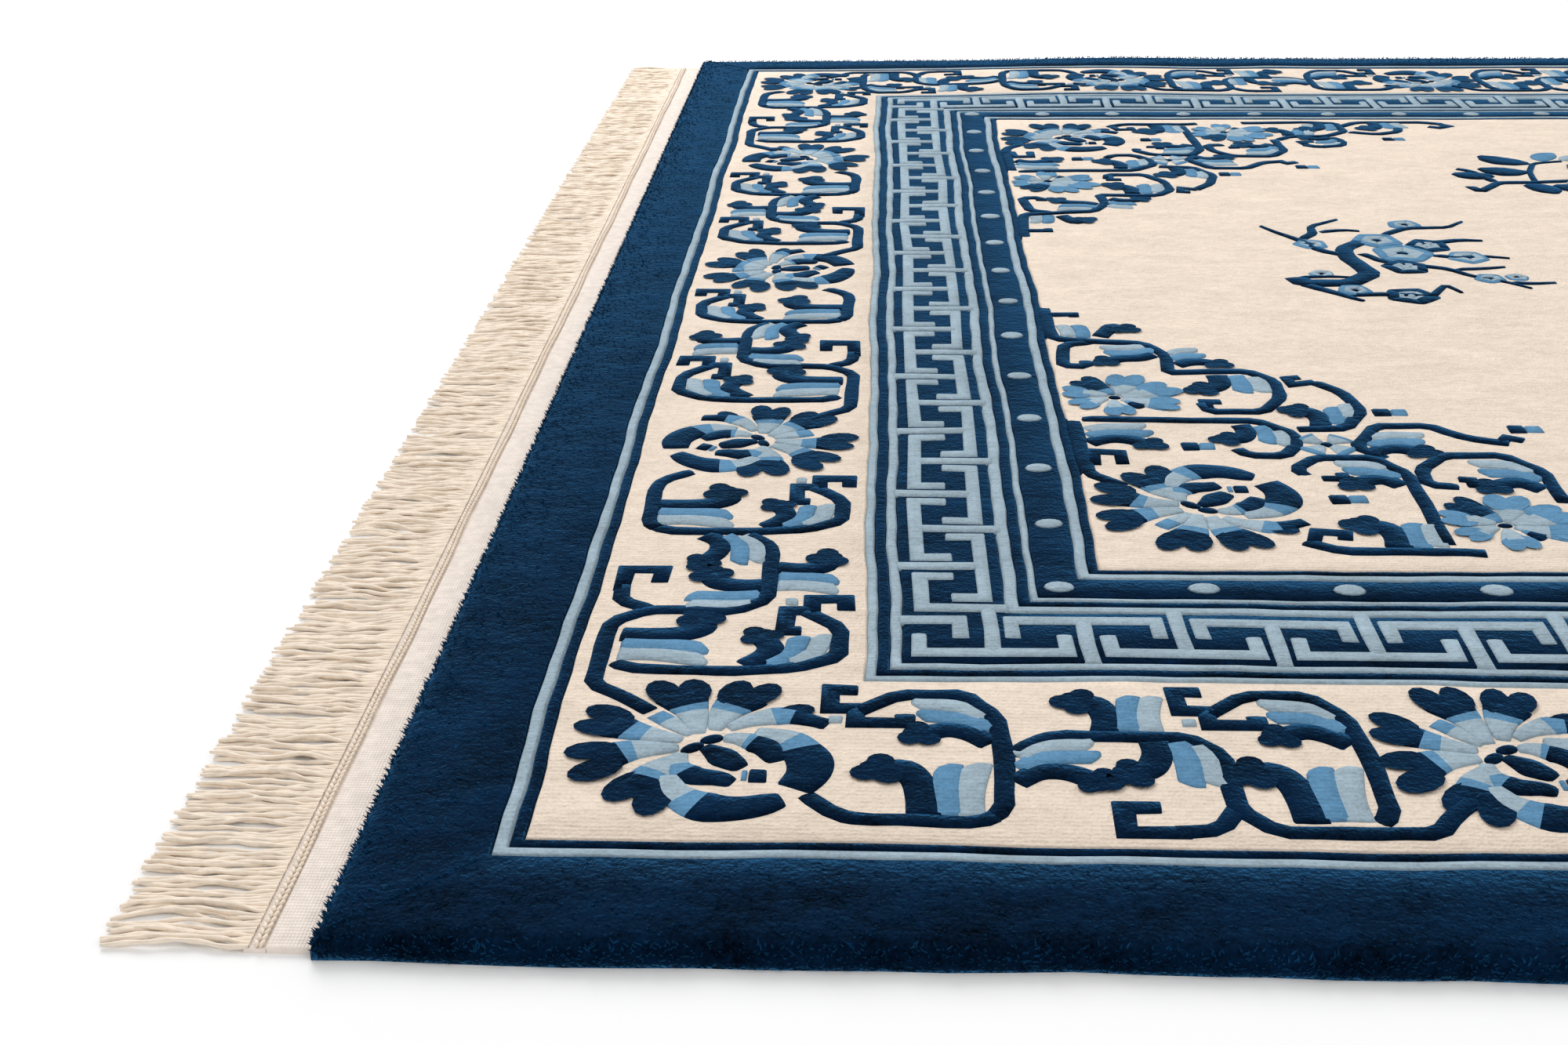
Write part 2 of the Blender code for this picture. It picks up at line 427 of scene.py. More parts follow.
def smooth_path(points, step):
    """Even steps along a soft curve through the points, in millimetres."""
    points = [Vector(point) for point in points]
    ends = [2 * points[0] - points[1]] + points + [2 * points[-1] - points[-2]]
    dense = []
    for a, b, c, d in zip(ends, ends[1:], ends[2:], ends[3:]):
        for part in range(8):
            t = part / 8
            dense.append(0.5 * (2 * b + (c - a) * t + (2 * a - 5 * b + 4 * c - d) * t**2
                                + (3 * b - a - 3 * c + d) * t**3))
    dense.append(points[-1])
    return even_steps(dense, step)


def cut_path(points):
    """Straight runs with small cut corners, in short steps."""
    points = [Vector(point) for point in points]
    cornered = [points[0]]
    for before, here, after in zip(points, points[1:], points[2:]):
        for other in (before, after):
            away = other - here
            cornered.append(here + away * min(0.34, CORNER_CUT / away.length))
    cornered.append(points[-1])
    path = [cornered[0]]
    for a, b in zip(cornered, cornered[1:]):
        parts = max(1, math.ceil((b - a).length / LONGEST_STEP))
        path += [a.lerp(b, (index + 1) / parts) for index in range(parts)]
    tip = (path[-2] - path[-1]).normalized() * (SHOULDER / MM)
    return path[:-1] + [path[-1] + tip, path[-1]]


def even_steps(dense, step):
    lengths = [0.0]
    for a, b in zip(dense, dense[1:]):
        lengths.append(lengths[-1] + (b - a).length)
    count = max(3, round(lengths[-1] / step))
    even = []
    place = 0
    for index in range(count + 1):
        wanted = lengths[-1] * index / count
        while place < len(dense) - 2 and lengths[place + 1] < wanted:
            place += 1
        part = (wanted - lengths[place]) / max(1e-9, lengths[place + 1] - lengths[place])
        even.append(dense[place].lerp(dense[place + 1], min(1.0, max(0.0, part))))
    return even


def profile_at(profile, share):
    """Reads a width off a table of (share, width) rows."""
    for (share_a, width_a), (share_b, width_b) in zip(profile, profile[1:]):
        if share <= share_b:
            part = (share - share_a) / max(1e-9, share_b - share_a)
            return width_a + (width_b - width_a) * part
    return profile[-1][1]


def side_directions(path):
    """The sideways direction at each step, lengthened where the path turns a corner."""
    sides = []
    for index in range(len(path)):
        before = path[index] - path[index - 1] if index > 0 else path[1] - path[0]
        after = path[index + 1] - path[index] if index < len(path) - 1 else before
        before = before.normalized()
        after = after.normalized()
        normal_a = Vector((-before.y, before.x))
        normal_b = Vector((-after.y, after.x))
        middle = (normal_a + normal_b).normalized()
        sides.append(middle / max(0.5, middle.dot(normal_a)))
    return sides


class Motif:
    """A small drawing in strokes, kept as one bmesh in millimetres, with a painted shade along its sunk
    edges.
    """

    def __init__(self):
        self.bm = bmesh.new()
        self.rim_shade = self.bm.verts.layers.float.new("rim_shade")
        self.lobes = 0

    def stroke(self, path, profile, shades, across=4, lean=0.0):
        """A strip along a path: profile gives its half width, shades its wools, by share of length.

        A lean of 1 or -1 keeps that side straight where the strip narrows.
        """
        rows = len(path)
        made = bmesh.ops.create_grid(self.bm, x_segments=rows - 1, y_segments=across, size=0.5)["verts"]
        sides = side_directions(path)
        shoulder = SHOULDER / MM
        widest = max(width for _, width in profile) + SINK_SPREAD
        row_of = {}
        for vertex in made:
            row = min(rows - 1, max(0, round((vertex.co.x + 0.5) * (rows - 1))))
            row_of[vertex] = row
            column = (vertex.co.y + 0.5) * across
            half = profile_at(profile, row / (rows - 1)) + SINK_SPREAD
            offset = 2 * column / across - 1
            on_side = abs(offset) > 0.999
            if not on_side and across > 2 and abs(offset) > 1 - 2.5 / across:
                offset = math.copysign(max(0.35, 1 - shoulder / max(half, 0.1)), offset)
            point = path[row] + sides[row] * (half * offset + lean * (widest - half))
            on_end = row in (0, rows - 1)
            edge = on_side or on_end
            if edge:
                height = -MOTIF_SINK / MM
            else:
                height = MOTIF_RISE / MM + MOTIF_CROWN / MM * (1 - offset**2)
            vertex.co = (point.x, point.y, height)
            # Edge points take the painted shade of the carving's shadow
            vertex[self.rim_shade] = 1.0 if edge else 0.0
        for face in {face for vertex in made for face in vertex.link_faces}:
            share = sum(row_of[vertex] for vertex in face.verts) / len(face.verts) / (rows - 1)
            for until, wool in shades:
                if share <= until:
                    face.material_index = WOOLS.index(wool)
                    break
            face.smooth = True

    def spot(self, centre, radius, wool="navy", root=None):
        """A low round lobe with the strokes' shoulders, drawn out from its root where it has one."""
        place = Matrix.Translation((centre[0], centre[1], -MOTIF_SINK / MM))
        if root is not None:
            run = Vector(centre) - Vector(root)
            place = place @ Matrix.Rotation(math.atan2(run.y, run.x), 4, "Z")
            place = place @ Matrix.Diagonal((LOBE_STRETCH, 1.0, 1.0, 1.0))
        ring = bmesh.ops.create_circle(
            self.bm, cap_ends=True, segments=12, radius=radius + SINK_SPREAD, matrix=place)["verts"]
        top = next(iter(ring[0].link_faces))
        inset = min(SHOULDER / MM, radius * 0.6)
        # Lobes that overlap have tops at slightly different heights
        self.lobes += 1
        rise = (MOTIF_SINK + MOTIF_RISE + MOTIF_CROWN * 0.5) / MM + LOBE_STEP * (self.lobes % 5)
        sides = bmesh.ops.inset_region(self.bm, faces=[top], thickness=inset, depth=0.0)["faces"]
        if top.normal.z < 0:
            bmesh.ops.reverse_faces(self.bm, faces=[top] + sides)
        # The lobe's sunk sides take the painted edge shade, its top none
        for face in sides:
            for vertex in face.verts:
                vertex[self.rim_shade] = 1.0
        for vertex in top.verts:
            vertex.co.z += rise
            vertex[self.rim_shade] = 0.0
        for face in [top] + sides:
            face.material_index = WOOLS.index(wool)
            face.smooth = True

    def line(self, points, half=STEM_HALF, wool="navy", taper=1.0):
        path = cut_path(points)
        self.stroke(path, ((0.0, half), (0.35, half), (1.0, half * taper)), ((1.0, wool),))

    def sharp_line(self, points, half, wool):
        """A line with square corners, one row at each corner and a row by each end."""
        points = [Vector(point) for point in points]
        first = (points[1] - points[0]).normalized() * (SHOULDER / MM)
        last = (points[-1] - points[-2]).normalized() * (SHOULDER / MM)
        path = [points[0], points[0] + first] + points[1:-1] + [points[-1] - last, points[-1]]
        self.stroke(path, ((0.0, half), (1.0, half)), ((1.0, wool),))

    def blob(self, centre, size_x, size_y, wool, turn=0.0, rise=1.1):
        """A low rounded spot."""
        place = Matrix.Translation((*centre, 0.0)) @ Matrix.Rotation(math.radians(turn), 4, "Z")
        place = place @ Matrix.Diagonal((size_x, size_y, (MOTIF_RISE + MOTIF_CROWN) / MM * rise, 1.0))
        made = bmesh.ops.create_uvsphere(
            self.bm, u_segments=12, v_segments=6, radius=1.0, matrix=place)["verts"]
        for face in {face for vertex in made for face in vertex.link_faces}:
            face.material_index = WOOLS.index(wool)
            face.smooth = True
        # The blob's low points take the painted edge shade
        for vertex in made:
            if vertex.co.z < 0.2:
                vertex[self.rim_shade] = 1.0

    def tablet(self, centre, size_x, size_y, wool, turn=0.0):
        ahead = Vector((math.cos(math.radians(turn)), math.sin(math.radians(turn)))) * size_x / 2
        middle = Vector(centre)
        path = [middle - ahead, middle - ahead * 0.6, middle + ahead * 0.6, middle + ahead]
        self.stroke(path, ((0.0, size_y / 2), (1.0, size_y / 2)), ((1.0, wool),))

    def petal(self, root, angle, start, reach, half, bend, shades, lobes=3, tip=0.75):
        """A petal fanning out from a root, light near it and dark at its lobed end."""
        root = Vector(root)
        points = []
        for part in range(5):
            share = part / 4
            turned = math.radians(angle + bend * share)
            radius = start + (reach - start) * share
            points.append(root + Vector((math.cos(turned), math.sin(turned))) * radius)
        path = smooth_path(points, 3.2)
        profile = ((0.0, half * 0.16), (0.45, half * 0.62), (0.80, half), (0.92, half * 0.96),
                   (1.0, half * tip))
        self.stroke(path, profile, shades, across=6)
        ahead = (path[-1] - path[-2]).normalized()
        aside = Vector((-ahead.y, ahead.x))
        for index in range(lobes):
            off = (index - (lobes - 1) / 2) * 1.7 / lobes
            place = path[-1] + half * (aside * off - ahead * (0.2 + 0.3 * abs(off)))
            self.spot(place, half * (0.38 if lobes > 2 else 0.50), shades[-1][1], root)

    def band(self, points, half, wool, away):
        """A leaf's stripe: blunt at its root, with a slanted tip that points away from the dark stripe."""
        path = smooth_path(points, 3.4)
        profile = ((0.0, half), (0.84, half), (1.0, half * 0.25))
        ahead = path[-1] - path[-2]
        lean = math.copysign(1.0, Vector((-ahead.y, ahead.x)).dot(away))
        self.stroke(path, profile, ((1.0, wool),), lean=lean)

    def head(self, points, half):
        """A leaf's dark stripe, which ends in a cloud of round lobes."""
        path = smooth_path(points, 2.6)
        self.stroke(path, ((0.0, half * 0.95), (0.8, half), (1.0, half * 0.8)), ((1.0, "navy"),))
        ahead = (path[-1] - path[-3]).normalized()
        aside = Vector((-ahead.y, ahead.x))
        lobes = (
            # along, across, size, in half widths
            (-0.25, 0.00, 1.08),
            (0.55, 0.20, 0.78),
            (-0.45, 0.90, 0.74),
            (-0.60, -0.85, 0.70),
        )
        for along, across, size in lobes:
            self.spot(path[-1] + half * (ahead * along + aside * across), half * size)

    def leaf(self, dark, middle, pale, half):
        """Three stripes side by side: a dark one with a head, and two with pointed tips."""
        away = Vector(pale[1]) - Vector(dark[1])
        self.head(dark, half * 1.10)
        self.band(middle, half * 0.90, "mid", away)
        self.band(pale, half * 0.90, "light", away)

    def hook(self, points, half=STEM_HALF):
        """A square hook."""
        self.sharp_line(points, half, "navy")


# Motifs

FULL_PETAL = ((0.48, "light"), (0.66, "mid"), (1.0, "navy"))
PALE_PETAL = ((0.62, "light"), (1.0, "mid"))
LATE_PETAL = ((0.30, "light"), (0.44, "mid"), (1.0, "navy"))
DARK_PETAL = ((0.35, "mid"), (1.0, "navy"))
BUD_PETAL = ((1.0, "navy"),)


def draw_flower(motif):
    """The big rosette: lobed petals fan out on one side of its root and curl round a bud on the other."""
    petals = (
        # path, half widths, shades, lobes as (u, v, radius)
        (((-4, 15), (-8, 35), (-17, 56)), (3.2, 8.4, 13.4), FULL_PETAL, ((-25, 57, 8.6), (-9, 59, 8.0))),
        (((3, 18), (8, 37), (17, 54)), (3.2, 8.2, 12.4), FULL_PETAL, ((11, 58, 8.2), (26, 57, 7.4))),
        (((9, 20), (22, 30), (38, 35), (58, 27)), (3.0, 8.2, 5.0), FULL_PETAL, ((43, 39, 6.4),)),
        (((-7, 14), (-17, 25), (-28, 36)), (2.2, 5.4, 5.0), PALE_PETAL, ()),
        (((-10, 10), (-31, 16), (-49, 25)), (2.8, 7.6, 11.2), FULL_PETAL, ((-50, 35, 8.2), (-54, 20, 7.6))),
        (((-11, 3), (-33, 0), (-52, -10)), (3.0, 8.4, 12.2), FULL_PETAL, ((-55, -2, 8.2), (-51, -21, 8.6))),
        (((-10, -4), (-21, -18), (-28, -36)), (3.2, 8.8, 12.0), FULL_PETAL,
         ((-34, -34, 9.2), (-19, -45, 8.8))),
        (((22, 19), (40, 13), (49, -2), (50, -17), (43, -32)), (4.0, 11.0, 9.0), LATE_PETAL, ()),
        (((-15, -20), (-10, -36), (3, -46), (20, -47), (40, -39)), (5.0, 11.6, 5.0), LATE_PETAL, ()),
        (((7, 11), (16, 12), (28, 6), (36, -9)), (2.4, 8.4, 3.6), LATE_PETAL, ()),
        (((-11, 0), (-11, -13), (-3, -21), (8, -23), (17, -27)), (3.6, 8.0, 3.4), LATE_PETAL, ()),
        (((-2, 5), (7, -2), (20, -15)), (2.4, 8.6, 3.0), BUD_PETAL, ()),
    )
    for points, (first, middle, last), shades, lobes in petals:
        profile = ((0.0, first), (0.5, middle), (0.86, last if lobes else (middle + last) / 2), (1.0, last))
        motif.stroke(smooth_path(points, 3.2), profile, shades, across=6)
        for u, v, radius in lobes:
            motif.spot(Vector(points[1]).lerp((u, v), 0.88), radius * 0.92, "navy", points[0])
    motif.tablet((27.0, -20.0), 10.5, 10.5, "navy")
    motif.tablet((20.6, -20.0), 3.4, 8.0, "mid")
    motif.blob((3.0, 11.0), 6.4, 4.0, "navy", 20.0)
    motif.blob((-6.0, 3.0), 6.8, 4.0, "navy", 40.0)


def draw_loop(motif, start):
    """One turn of the vine, with its end hooks and two striped leaves inside it."""
    def shifted(*points):
        return [(start + u, v) for u, v in points]

    motif.line(shifted((126, 18), (136, 28), (137, 76), (134, 110), (121, 131), (90, 131), (70, 112)))
    motif.hook(shifted((76, 116), (57, 116), (57, 134), (71, 134)))
    motif.hook(shifted((70, 118), (70, 103), (93, 103), (93, 112)))
    motif.tablet((start + 60, 105), 9.0, 6.5, "light")
    motif.leaf(
        shifted((100, 19), (100, 36), (97, 52), (90, 61), (79, 59)),
        shifted((111, 20), (110, 42), (113, 68)),
        shifted((121, 20), (121, 42), (126, 69)), 7.4)
    motif.leaf(
        shifted((132, 84), (121, 94), (111, 97), (98, 91)),
        shifted((132, 95), (120, 107), (96, 111)),
        shifted((130, 106), (117, 119), (94, 122)), 6.2)


def draw_branch(motif):
    """The side shoot between two loops, with its C hook and three striped leaves."""
    motif.line(((138, 72), (150, 86), (162, 92), (222, 92), (236, 76), (236, 30), (250, 13), (318, 13),
                (328, 28), (344, 44)))
    motif.line(((238, 36), (226, 14), (206, 12)))
    motif.hook(((214, 12), (187, 12), (187, 32), (204, 32)))
    motif.leaf(
        ((184, 94), (186, 108), (182, 121), (171, 124)),
        ((196, 95), (196, 112), (199, 132)),
        ((206, 95), (206, 112), (211, 132)), 6.8)
    motif.leaf(
        ((141, 50), (152, 60), (165, 60), (180, 51)),
        ((142, 61), (155, 72), (183, 73)),
        ((142, 71), (154, 82), (181, 84)), 6.2)
    motif.leaf(
        ((206, 90), (207, 77), (202, 64), (191, 58)),
        ((217, 90), (220, 72), (219, 47)),
        ((227, 87), (230, 70), (231, 47)), 7.0)


def draw_vine(motif):
    """All that fills the flower border from one flower to the next."""
    motif.line(((46, 42), (62, 20), (74, 17), (124, 17), (132, 23)))
    draw_loop(motif, 0.0)
    draw_branch(motif)
    draw_loop(motif, 165.0)


def key_line(motif, points):
    motif.sharp_line([(u * KEY_ROW, v * KEY_ROW) for u, v in points], KEY_HALF, "light")


def draw_outer_key(motif):
    """A T that stands on the outer line, with both ends of its bar hooked back."""
    key_line(motif, ((0.0, -0.3), (0.0, 3.0), (0.0, KEY_HIGH)))
    key_line(motif, ((-KEY_ARM, KEY_HIGH - KEY_HOOK), (-KEY_ARM, KEY_HIGH), (KEY_ARM, KEY_HIGH),
                     (KEY_ARM, KEY_HIGH - KEY_HOOK)))


def draw_inner_key(motif):
    """The same T from the inner line."""
    key_line(motif, ((0.0, KEY_TOP), (0.0, 5.0), (0.0, KEY_LOW)))
    key_line(motif, ((-KEY_ARM, KEY_LOW + KEY_HOOK), (-KEY_ARM, KEY_LOW), (KEY_ARM, KEY_LOW),
                     (KEY_ARM, KEY_LOW + KEY_HOOK)))


def draw_key_corner(motif):
    """At a corner, the short side starts with half a T on the long side's line, and a hooked arm."""
    key_line(motif, ((8.3, KEY_TOP), (KEY_LOW, KEY_TOP), (KEY_LOW, KEY_TOP + KEY_ARM),
                     (KEY_LOW + KEY_HOOK, KEY_TOP + KEY_ARM)))
    key_line(motif, ((-0.3, KEY_HIGH), (4.3, KEY_HIGH), (4.3, KEY_HIGH - KEY_HOOK)))


def draw_pearl(motif):
    motif.blob((0.0, 0.0), 8.6, 6.6, "light", rise=1.6)


def draw_half_flower(motif):
    """A pale flower with a few dark petals."""
    petals = (
        # angle, reach, half, bend, shades
        (14.0, 44.0, 16.0, 14.0, PALE_PETAL),
        (58.0, 42.0, 15.0, 16.0, PALE_PETAL),
        (106.0, 38.0, 14.0, 18.0, DARK_PETAL),
        (148.0, 33.0, 12.5, 16.0, PALE_PETAL),
        (204.0, 31.0, 11.0, 10.0, PALE_PETAL),
        (262.0, 32.0, 11.5, 12.0, PALE_PETAL),
        (330.0, 42.0, 13.0, 12.0, PALE_PETAL),
    )
    for angle, reach, half, bend, shades in petals:
        motif.petal((0.0, 0.0), angle, 4.0, reach, half, bend, shades, lobes=2, tip=0.8)
    motif.petal((6.0, -4.0), 300.0, 2.0, 22.0, 6.0, 10.0, DARK_PETAL, lobes=0, tip=0.4)
    motif.blob((0.0, 0.0), 5.0, 3.6, "navy")


def draw_corner_piece(motif):
    """The vine that fills a corner of the field. u and v run along the field's edges from its corner."""
    stems = (
        ((5, 232), (5, 136), (24, 116)),
        ((5, 230), (124, 228), (145, 205), (144, 188), (131, 167), (109, 166), (103, 178)),
        ((3, 470), (3, 420), (6, 392), (68, 382), (82, 356), (79, 322), (134, 325), (149, 304), (148, 274),
         (131, 245), (97, 245), (95, 262)),
        ((36, 388), (12, 380), (7, 336), (24, 334), (24, 346)),
        ((171, 306), (190, 282), (197, 248), (180, 217), (148, 213)),
        ((196, 160), (180, 184), (199, 220), (232, 221), (252, 198), (276, 190)),
        ((140, 130), (134, 146), (150, 165), (186, 165), (200, 138), (197, 34)),
        ((112, 40), (136, 24), (200, 25), (216, 22)),
        ((230, 118), (209, 121), (210, 146), (228, 169), (266, 170), (284, 144), (282, 96)),
        ((282, 100), (300, 84), (340, 82), (362, 62), (360, 22), (330, 16), (262, 20)),
        ((360, 40), (382, 18), (452, 16), (470, 26)),
        ((340, 82), (352, 104), (346, 124), (322, 130), (308, 120)),
        ((362, 62), (392, 74), (416, 62), (420, 44)),
    )
    for points in stems:
        motif.line(points)
    hooks = (
        ((3, 446), (24, 447), (24, 440)),
        ((97, 250), (97, 264), (108, 264)),
        ((176, 303), (160, 297), (158, 310), (168, 312)),
        ((270, 191), (276, 200), (286, 194)),
        ((146, 130), (160, 130), (160, 140)),
        ((10, 150), (12, 172), (28, 170), (28, 150)),
        ((236, 118), (236, 130), (228, 131)),
        ((122, 36), (126, 50), (142, 48), (140, 38)),
        ((464, 22), (474, 34), (462, 42), (452, 36)),
        ((312, 124), (308, 108), (322, 106)),
    )
    for points in hooks:
        motif.hook(points, 4.3)
    leaves = (
        # dark, middle, pale, half
        (((38, 396), (44, 408), (50, 418), (60, 412)), ((26, 394), (27, 408), (25, 424)),
         ((16, 396), (16, 410), (13, 424)), 6.2),
        (((74, 360), (62, 352), (48, 350), (36, 343)), ((76, 370), (60, 362), (36, 363)),
         ((70, 377), (56, 373), (34, 373)), 6.2),
        (((86, 336), (96, 342), (108, 343), (118, 337)), ((84, 347), (94, 355), (112, 355)),
         ((84, 358), (92, 366), (108, 368)), 5.8),
        (((112, 318), (112, 302), (106, 292), (96, 288)), ((124, 318), (126, 302), (124, 280)),
         ((135, 314), (138, 298), (138, 280)), 7.6),
        (((164, 217), (166, 232), (162, 244), (151, 248)), ((176, 222), (178, 236), (176, 256)),
         ((186, 232), (188, 244), (186, 262)), 7.0),
        (((10, 186), (24, 194), (38, 192), (50, 182)), ((10, 197), (26, 204), (56, 203)),
         ((10, 208), (26, 215), (54, 216)), 6.8),
        (((112, 222), (114, 208), (108, 196), (97, 194)), ((124, 220), (127, 206), (124, 186)),
         ((134, 212), (137, 198), (134, 182)), 6.8),
        (((186, 172), (196, 180), (208, 180), (220, 173)), ((188, 184), (200, 192), (226, 190)),
         ((192, 196), (204, 204), (228, 201)), 6.8),
        (((192, 118), (184, 128), (174, 128), (162, 120)), ((194, 130), (184, 140), (160, 143)),
         ((190, 144), (180, 152), (158, 154)), 6.9),
        (((168, 28), (170, 44), (166, 56), (152, 60)), ((180, 28), (181, 44), (184, 66)),
         ((190, 30), (191, 46), (193, 64)), 8.0),
        (((276, 116), (266, 126), (256, 126), (244, 118)), ((278, 128), (268, 140), (242, 142)),
         ((276, 140), (266, 154), (240, 156)), 6.9),
        (((340, 20), (340, 36), (336, 48), (322, 52)), ((351, 24), (352, 40), (350, 58)),
         ((330, 24), (329, 34), (326, 42)), 7.0),
        (((398, 18), (400, 32), (396, 44), (386, 48)), ((410, 19), (411, 34), (414, 50)),
         ((421, 19), (422, 32), (426, 46)), 6.8),
        (((344, 88), (332, 96), (322, 94), (314, 88)), ((348, 98), (336, 108), (320, 110)),
         ((350, 110), (340, 120), (326, 122)), 5.6),
        (((300, 80), (302, 66), (296, 56), (286, 54)), ((312, 80), (314, 66), (312, 50)),
         ((323, 78), (325, 66), (324, 54)), 6.2),
    )
    for dark, middle, pale, half in leaves:
        motif.leaf(dark, middle, pale, half)
    for index in range(4):
        motif.petal((162.0, 187.0), 45.0 + 90.0 * index, 2.0, 20.0, 10.0, 0.0, PALE_PETAL, lobes=0, tip=0.4)
    motif.tablet((162, 187), 7.0, 7.0, "navy", 45.0)
    squares = (
        # u, v
        (79, 181), (155, 97), (214, 245), (292, 214), (404, 96),
    )
    for u, v in squares:
        motif.tablet((u - 5, v), 14.0, 13.0, "navy")
        motif.tablet((u + 6, v), 13.0, 11.0, "mid")


def draw_blossom(motif, centre, size, turn, dark):
    shades = ((0.3, "light"), (1.0, "navy")) if dark else ((0.55, "light"), (1.0, "mid"))
    for index in range(5):
        angle = turn + 72.0 * index
        motif.petal(centre, angle, size * 0.12, size, size * 0.64, 0.0, shades, lobes=0, tip=0.6)
    motif.blob(centre, size * 0.22, size * 0.22, "light" if dark else "navy")


def draw_spray(motif):
    """A plum branch: an angled trunk, thin twigs and open blossoms."""
    trunk = ((-92, -22), (-86, -44), (-50, -43), (-28, -18), (-38, 28), (-36, 56), (-16, 78))
    motif.line(trunk, 9.0, taper=0.8)
    twigs = (
        # path, half
        (((-38, 34), (-56, 50), (-66, 82), (-80, 104), (-92, 128)), 4.8),
        (((-66, 84), (-50, 104), (-48, 128), (-18, 150)), 4.2),
        (((-48, 108), (-24, 116), (-8, 112)), 3.4),
        (((-90, -44), (-74, -60), (-48, -90)), 4.8),
        (((-60, -74), (-26, -72), (6, -76), (22, -48), (30, -70)), 4.4),
        (((-26, 46), (-12, 18), (14, 8), (38, -4), (50, -24), (72, -40), (88, -58)), 4.4),
        (((38, -4), (62, -2), (84, 4)), 3.4),
        (((4, 96), (34, 122), (70, 122), (88, 142)), 4.2),
        (((20, 74), (50, 76), (70, 84), (90, 82)), 4.8),
        (((30, 40), (56, 30), (74, 36), (96, 28)), 4.0),
        (((72, -40), (92, -44), (112, -40)), 3.4),
        (((-92, -28), (-60, -26), (-44, -28)), 3.2),
    )
    for points, half in twigs:
        motif.line(points, half, taper=0.3)
    blossoms = (
        # u, v, size, turn, dark
        (-2, 82, 21, 10, False), (11, 42, 24, 40, False), (38, 66, 19, 0, True), (-10, -76, 20, 25, True),
        (4, 2, 19, 60, True), (62, 32, 17, 15, False), (-60, 70, 15, 0, False), (-50, -62, 14, 20, False),
        (34, 132, 15, 30, False), (62, -30, 13, 12, False), (84, -26, 10, 50, False),
        (-68, -18, 11, 0, False),
    )
    for u, v, size, turn, dark in blossoms:
        draw_blossom(motif, (u, v), size, turn, dark)


def draw_peony(motif):
    """A leafy branch with a large open flower."""
    motif.line(((-144, -42), (-138, -70), (-112, -36), (-72, -34), (-20, -26), (20, 0)), 5.2, taper=0.7)
    motif.line(((-112, -36), (-124, 14), (-136, 22)), 5.0, taper=0.7)
    motif.line(((-72, -34), (-66, 10), (-52, 44), (-20, 52)), 3.4, taper=0.7)
    motif.line(((20, 0), (70, -30), (110, -28), (150, -50)), 3.6, taper=0.5)
    motif.line(((40, 30), (84, 60), (120, 58)), 3.2, taper=0.5)
    leaves = (
        # u, v, angle, length, half, wool
        (-104, -6, 168, 44, 15, "navy"), (-66, 6, 158, 52, 17, "navy"), (-54, 42, 140, 58, 17, "navy"),
        (-88, -42, -60, 44, 16, "navy"), (-60, -44, -52, 56, 17, "navy"), (-44, -34, -30, 50, 12, "light"),
        (-40, 52, 60, 44, 13, "mid"), (-22, 56, 20, 40, 12, "light"), (92, -34, -70, 46, 16, "navy"),
        (112, -28, -40, 46, 15, "mid"), (90, 60, 96, 44, 16, "navy"), (112, 58, 50, 44, 15, "mid"),
        (132, -40, 20, 40, 12, "light"), (60, -30, -112, 42, 15, "navy"),
    )
    for u, v, angle, length, half, wool in leaves:
        ahead = Vector((math.cos(math.radians(angle)), math.sin(math.radians(angle))))
        aside = Vector((-ahead.y, ahead.x)) * length * 0.12
        root = Vector((u, v))
        path = smooth_path((root, root + ahead * length * 0.5 + aside, root + ahead * length), 3.6)
        profile = ((0.0, 1.6), (0.25, half * 0.8), (0.5, half), (0.75, half * 0.8), (1.0, 0.8))
        motif.stroke(path, profile, ((1.0, wool),), across=6)
    for index in range(9):
        angle = 40.0 * index
        motif.petal((30.0, 14.0), angle, 14.0, 48.0, 13.5, 10.0, FULL_PETAL, lobes=3)
    for index in range(5):
        angle = 72.0 * index + 20.0
        motif.petal((30.0, 14.0), angle, 3.0, 14.0, 6.0, 8.0, ((0.6, "mid"), (1.0, "light")), lobes=0)
    motif.blob((30.0, 14.0), 3.6, 3.6, "navy")


# Copies of motifs, laid on the rug

class Drawing:
    """A motif's points and faces as arrays, ready to be copied."""

    def __init__(self, draw):
        motif = Motif()
        draw(motif)
        mesh = mesh_from("drawing", motif.bm)
        self.points = read(mesh.vertices, "co", 3)
        self.loops = read(mesh.loops, "vertex_index", 1, np.int32).ravel()
        self.starts = read(mesh.polygons, "loop_start", 1, np.int32).ravel()
        self.wools = read(mesh.polygons, "material_index", 1, np.int32).ravel()
        self.rim_shade = read(mesh.attributes["rim_shade"].data, "value", 1).ravel()
        bpy.data.meshes.remove(mesh)


def read(items, name, width, kind=np.float32):
    values = np.empty(len(items) * width, kind)
    items.foreach_get(name, values)
    return values.reshape(-1, width)


def place_matrix(corner, along, across, scale_along=1.0, scale_across=1.0):
    """A 3x3 that takes (u, v, 1) in millimetres to (x, y, 1) in millimetres."""
    return np.array((
        (along[0] * scale_along, across[0] * scale_across, corner[0]),
        (along[1] * scale_along, across[1] * scale_across, corner[1]),
        (0.0, 0.0, 1.0),
    ))


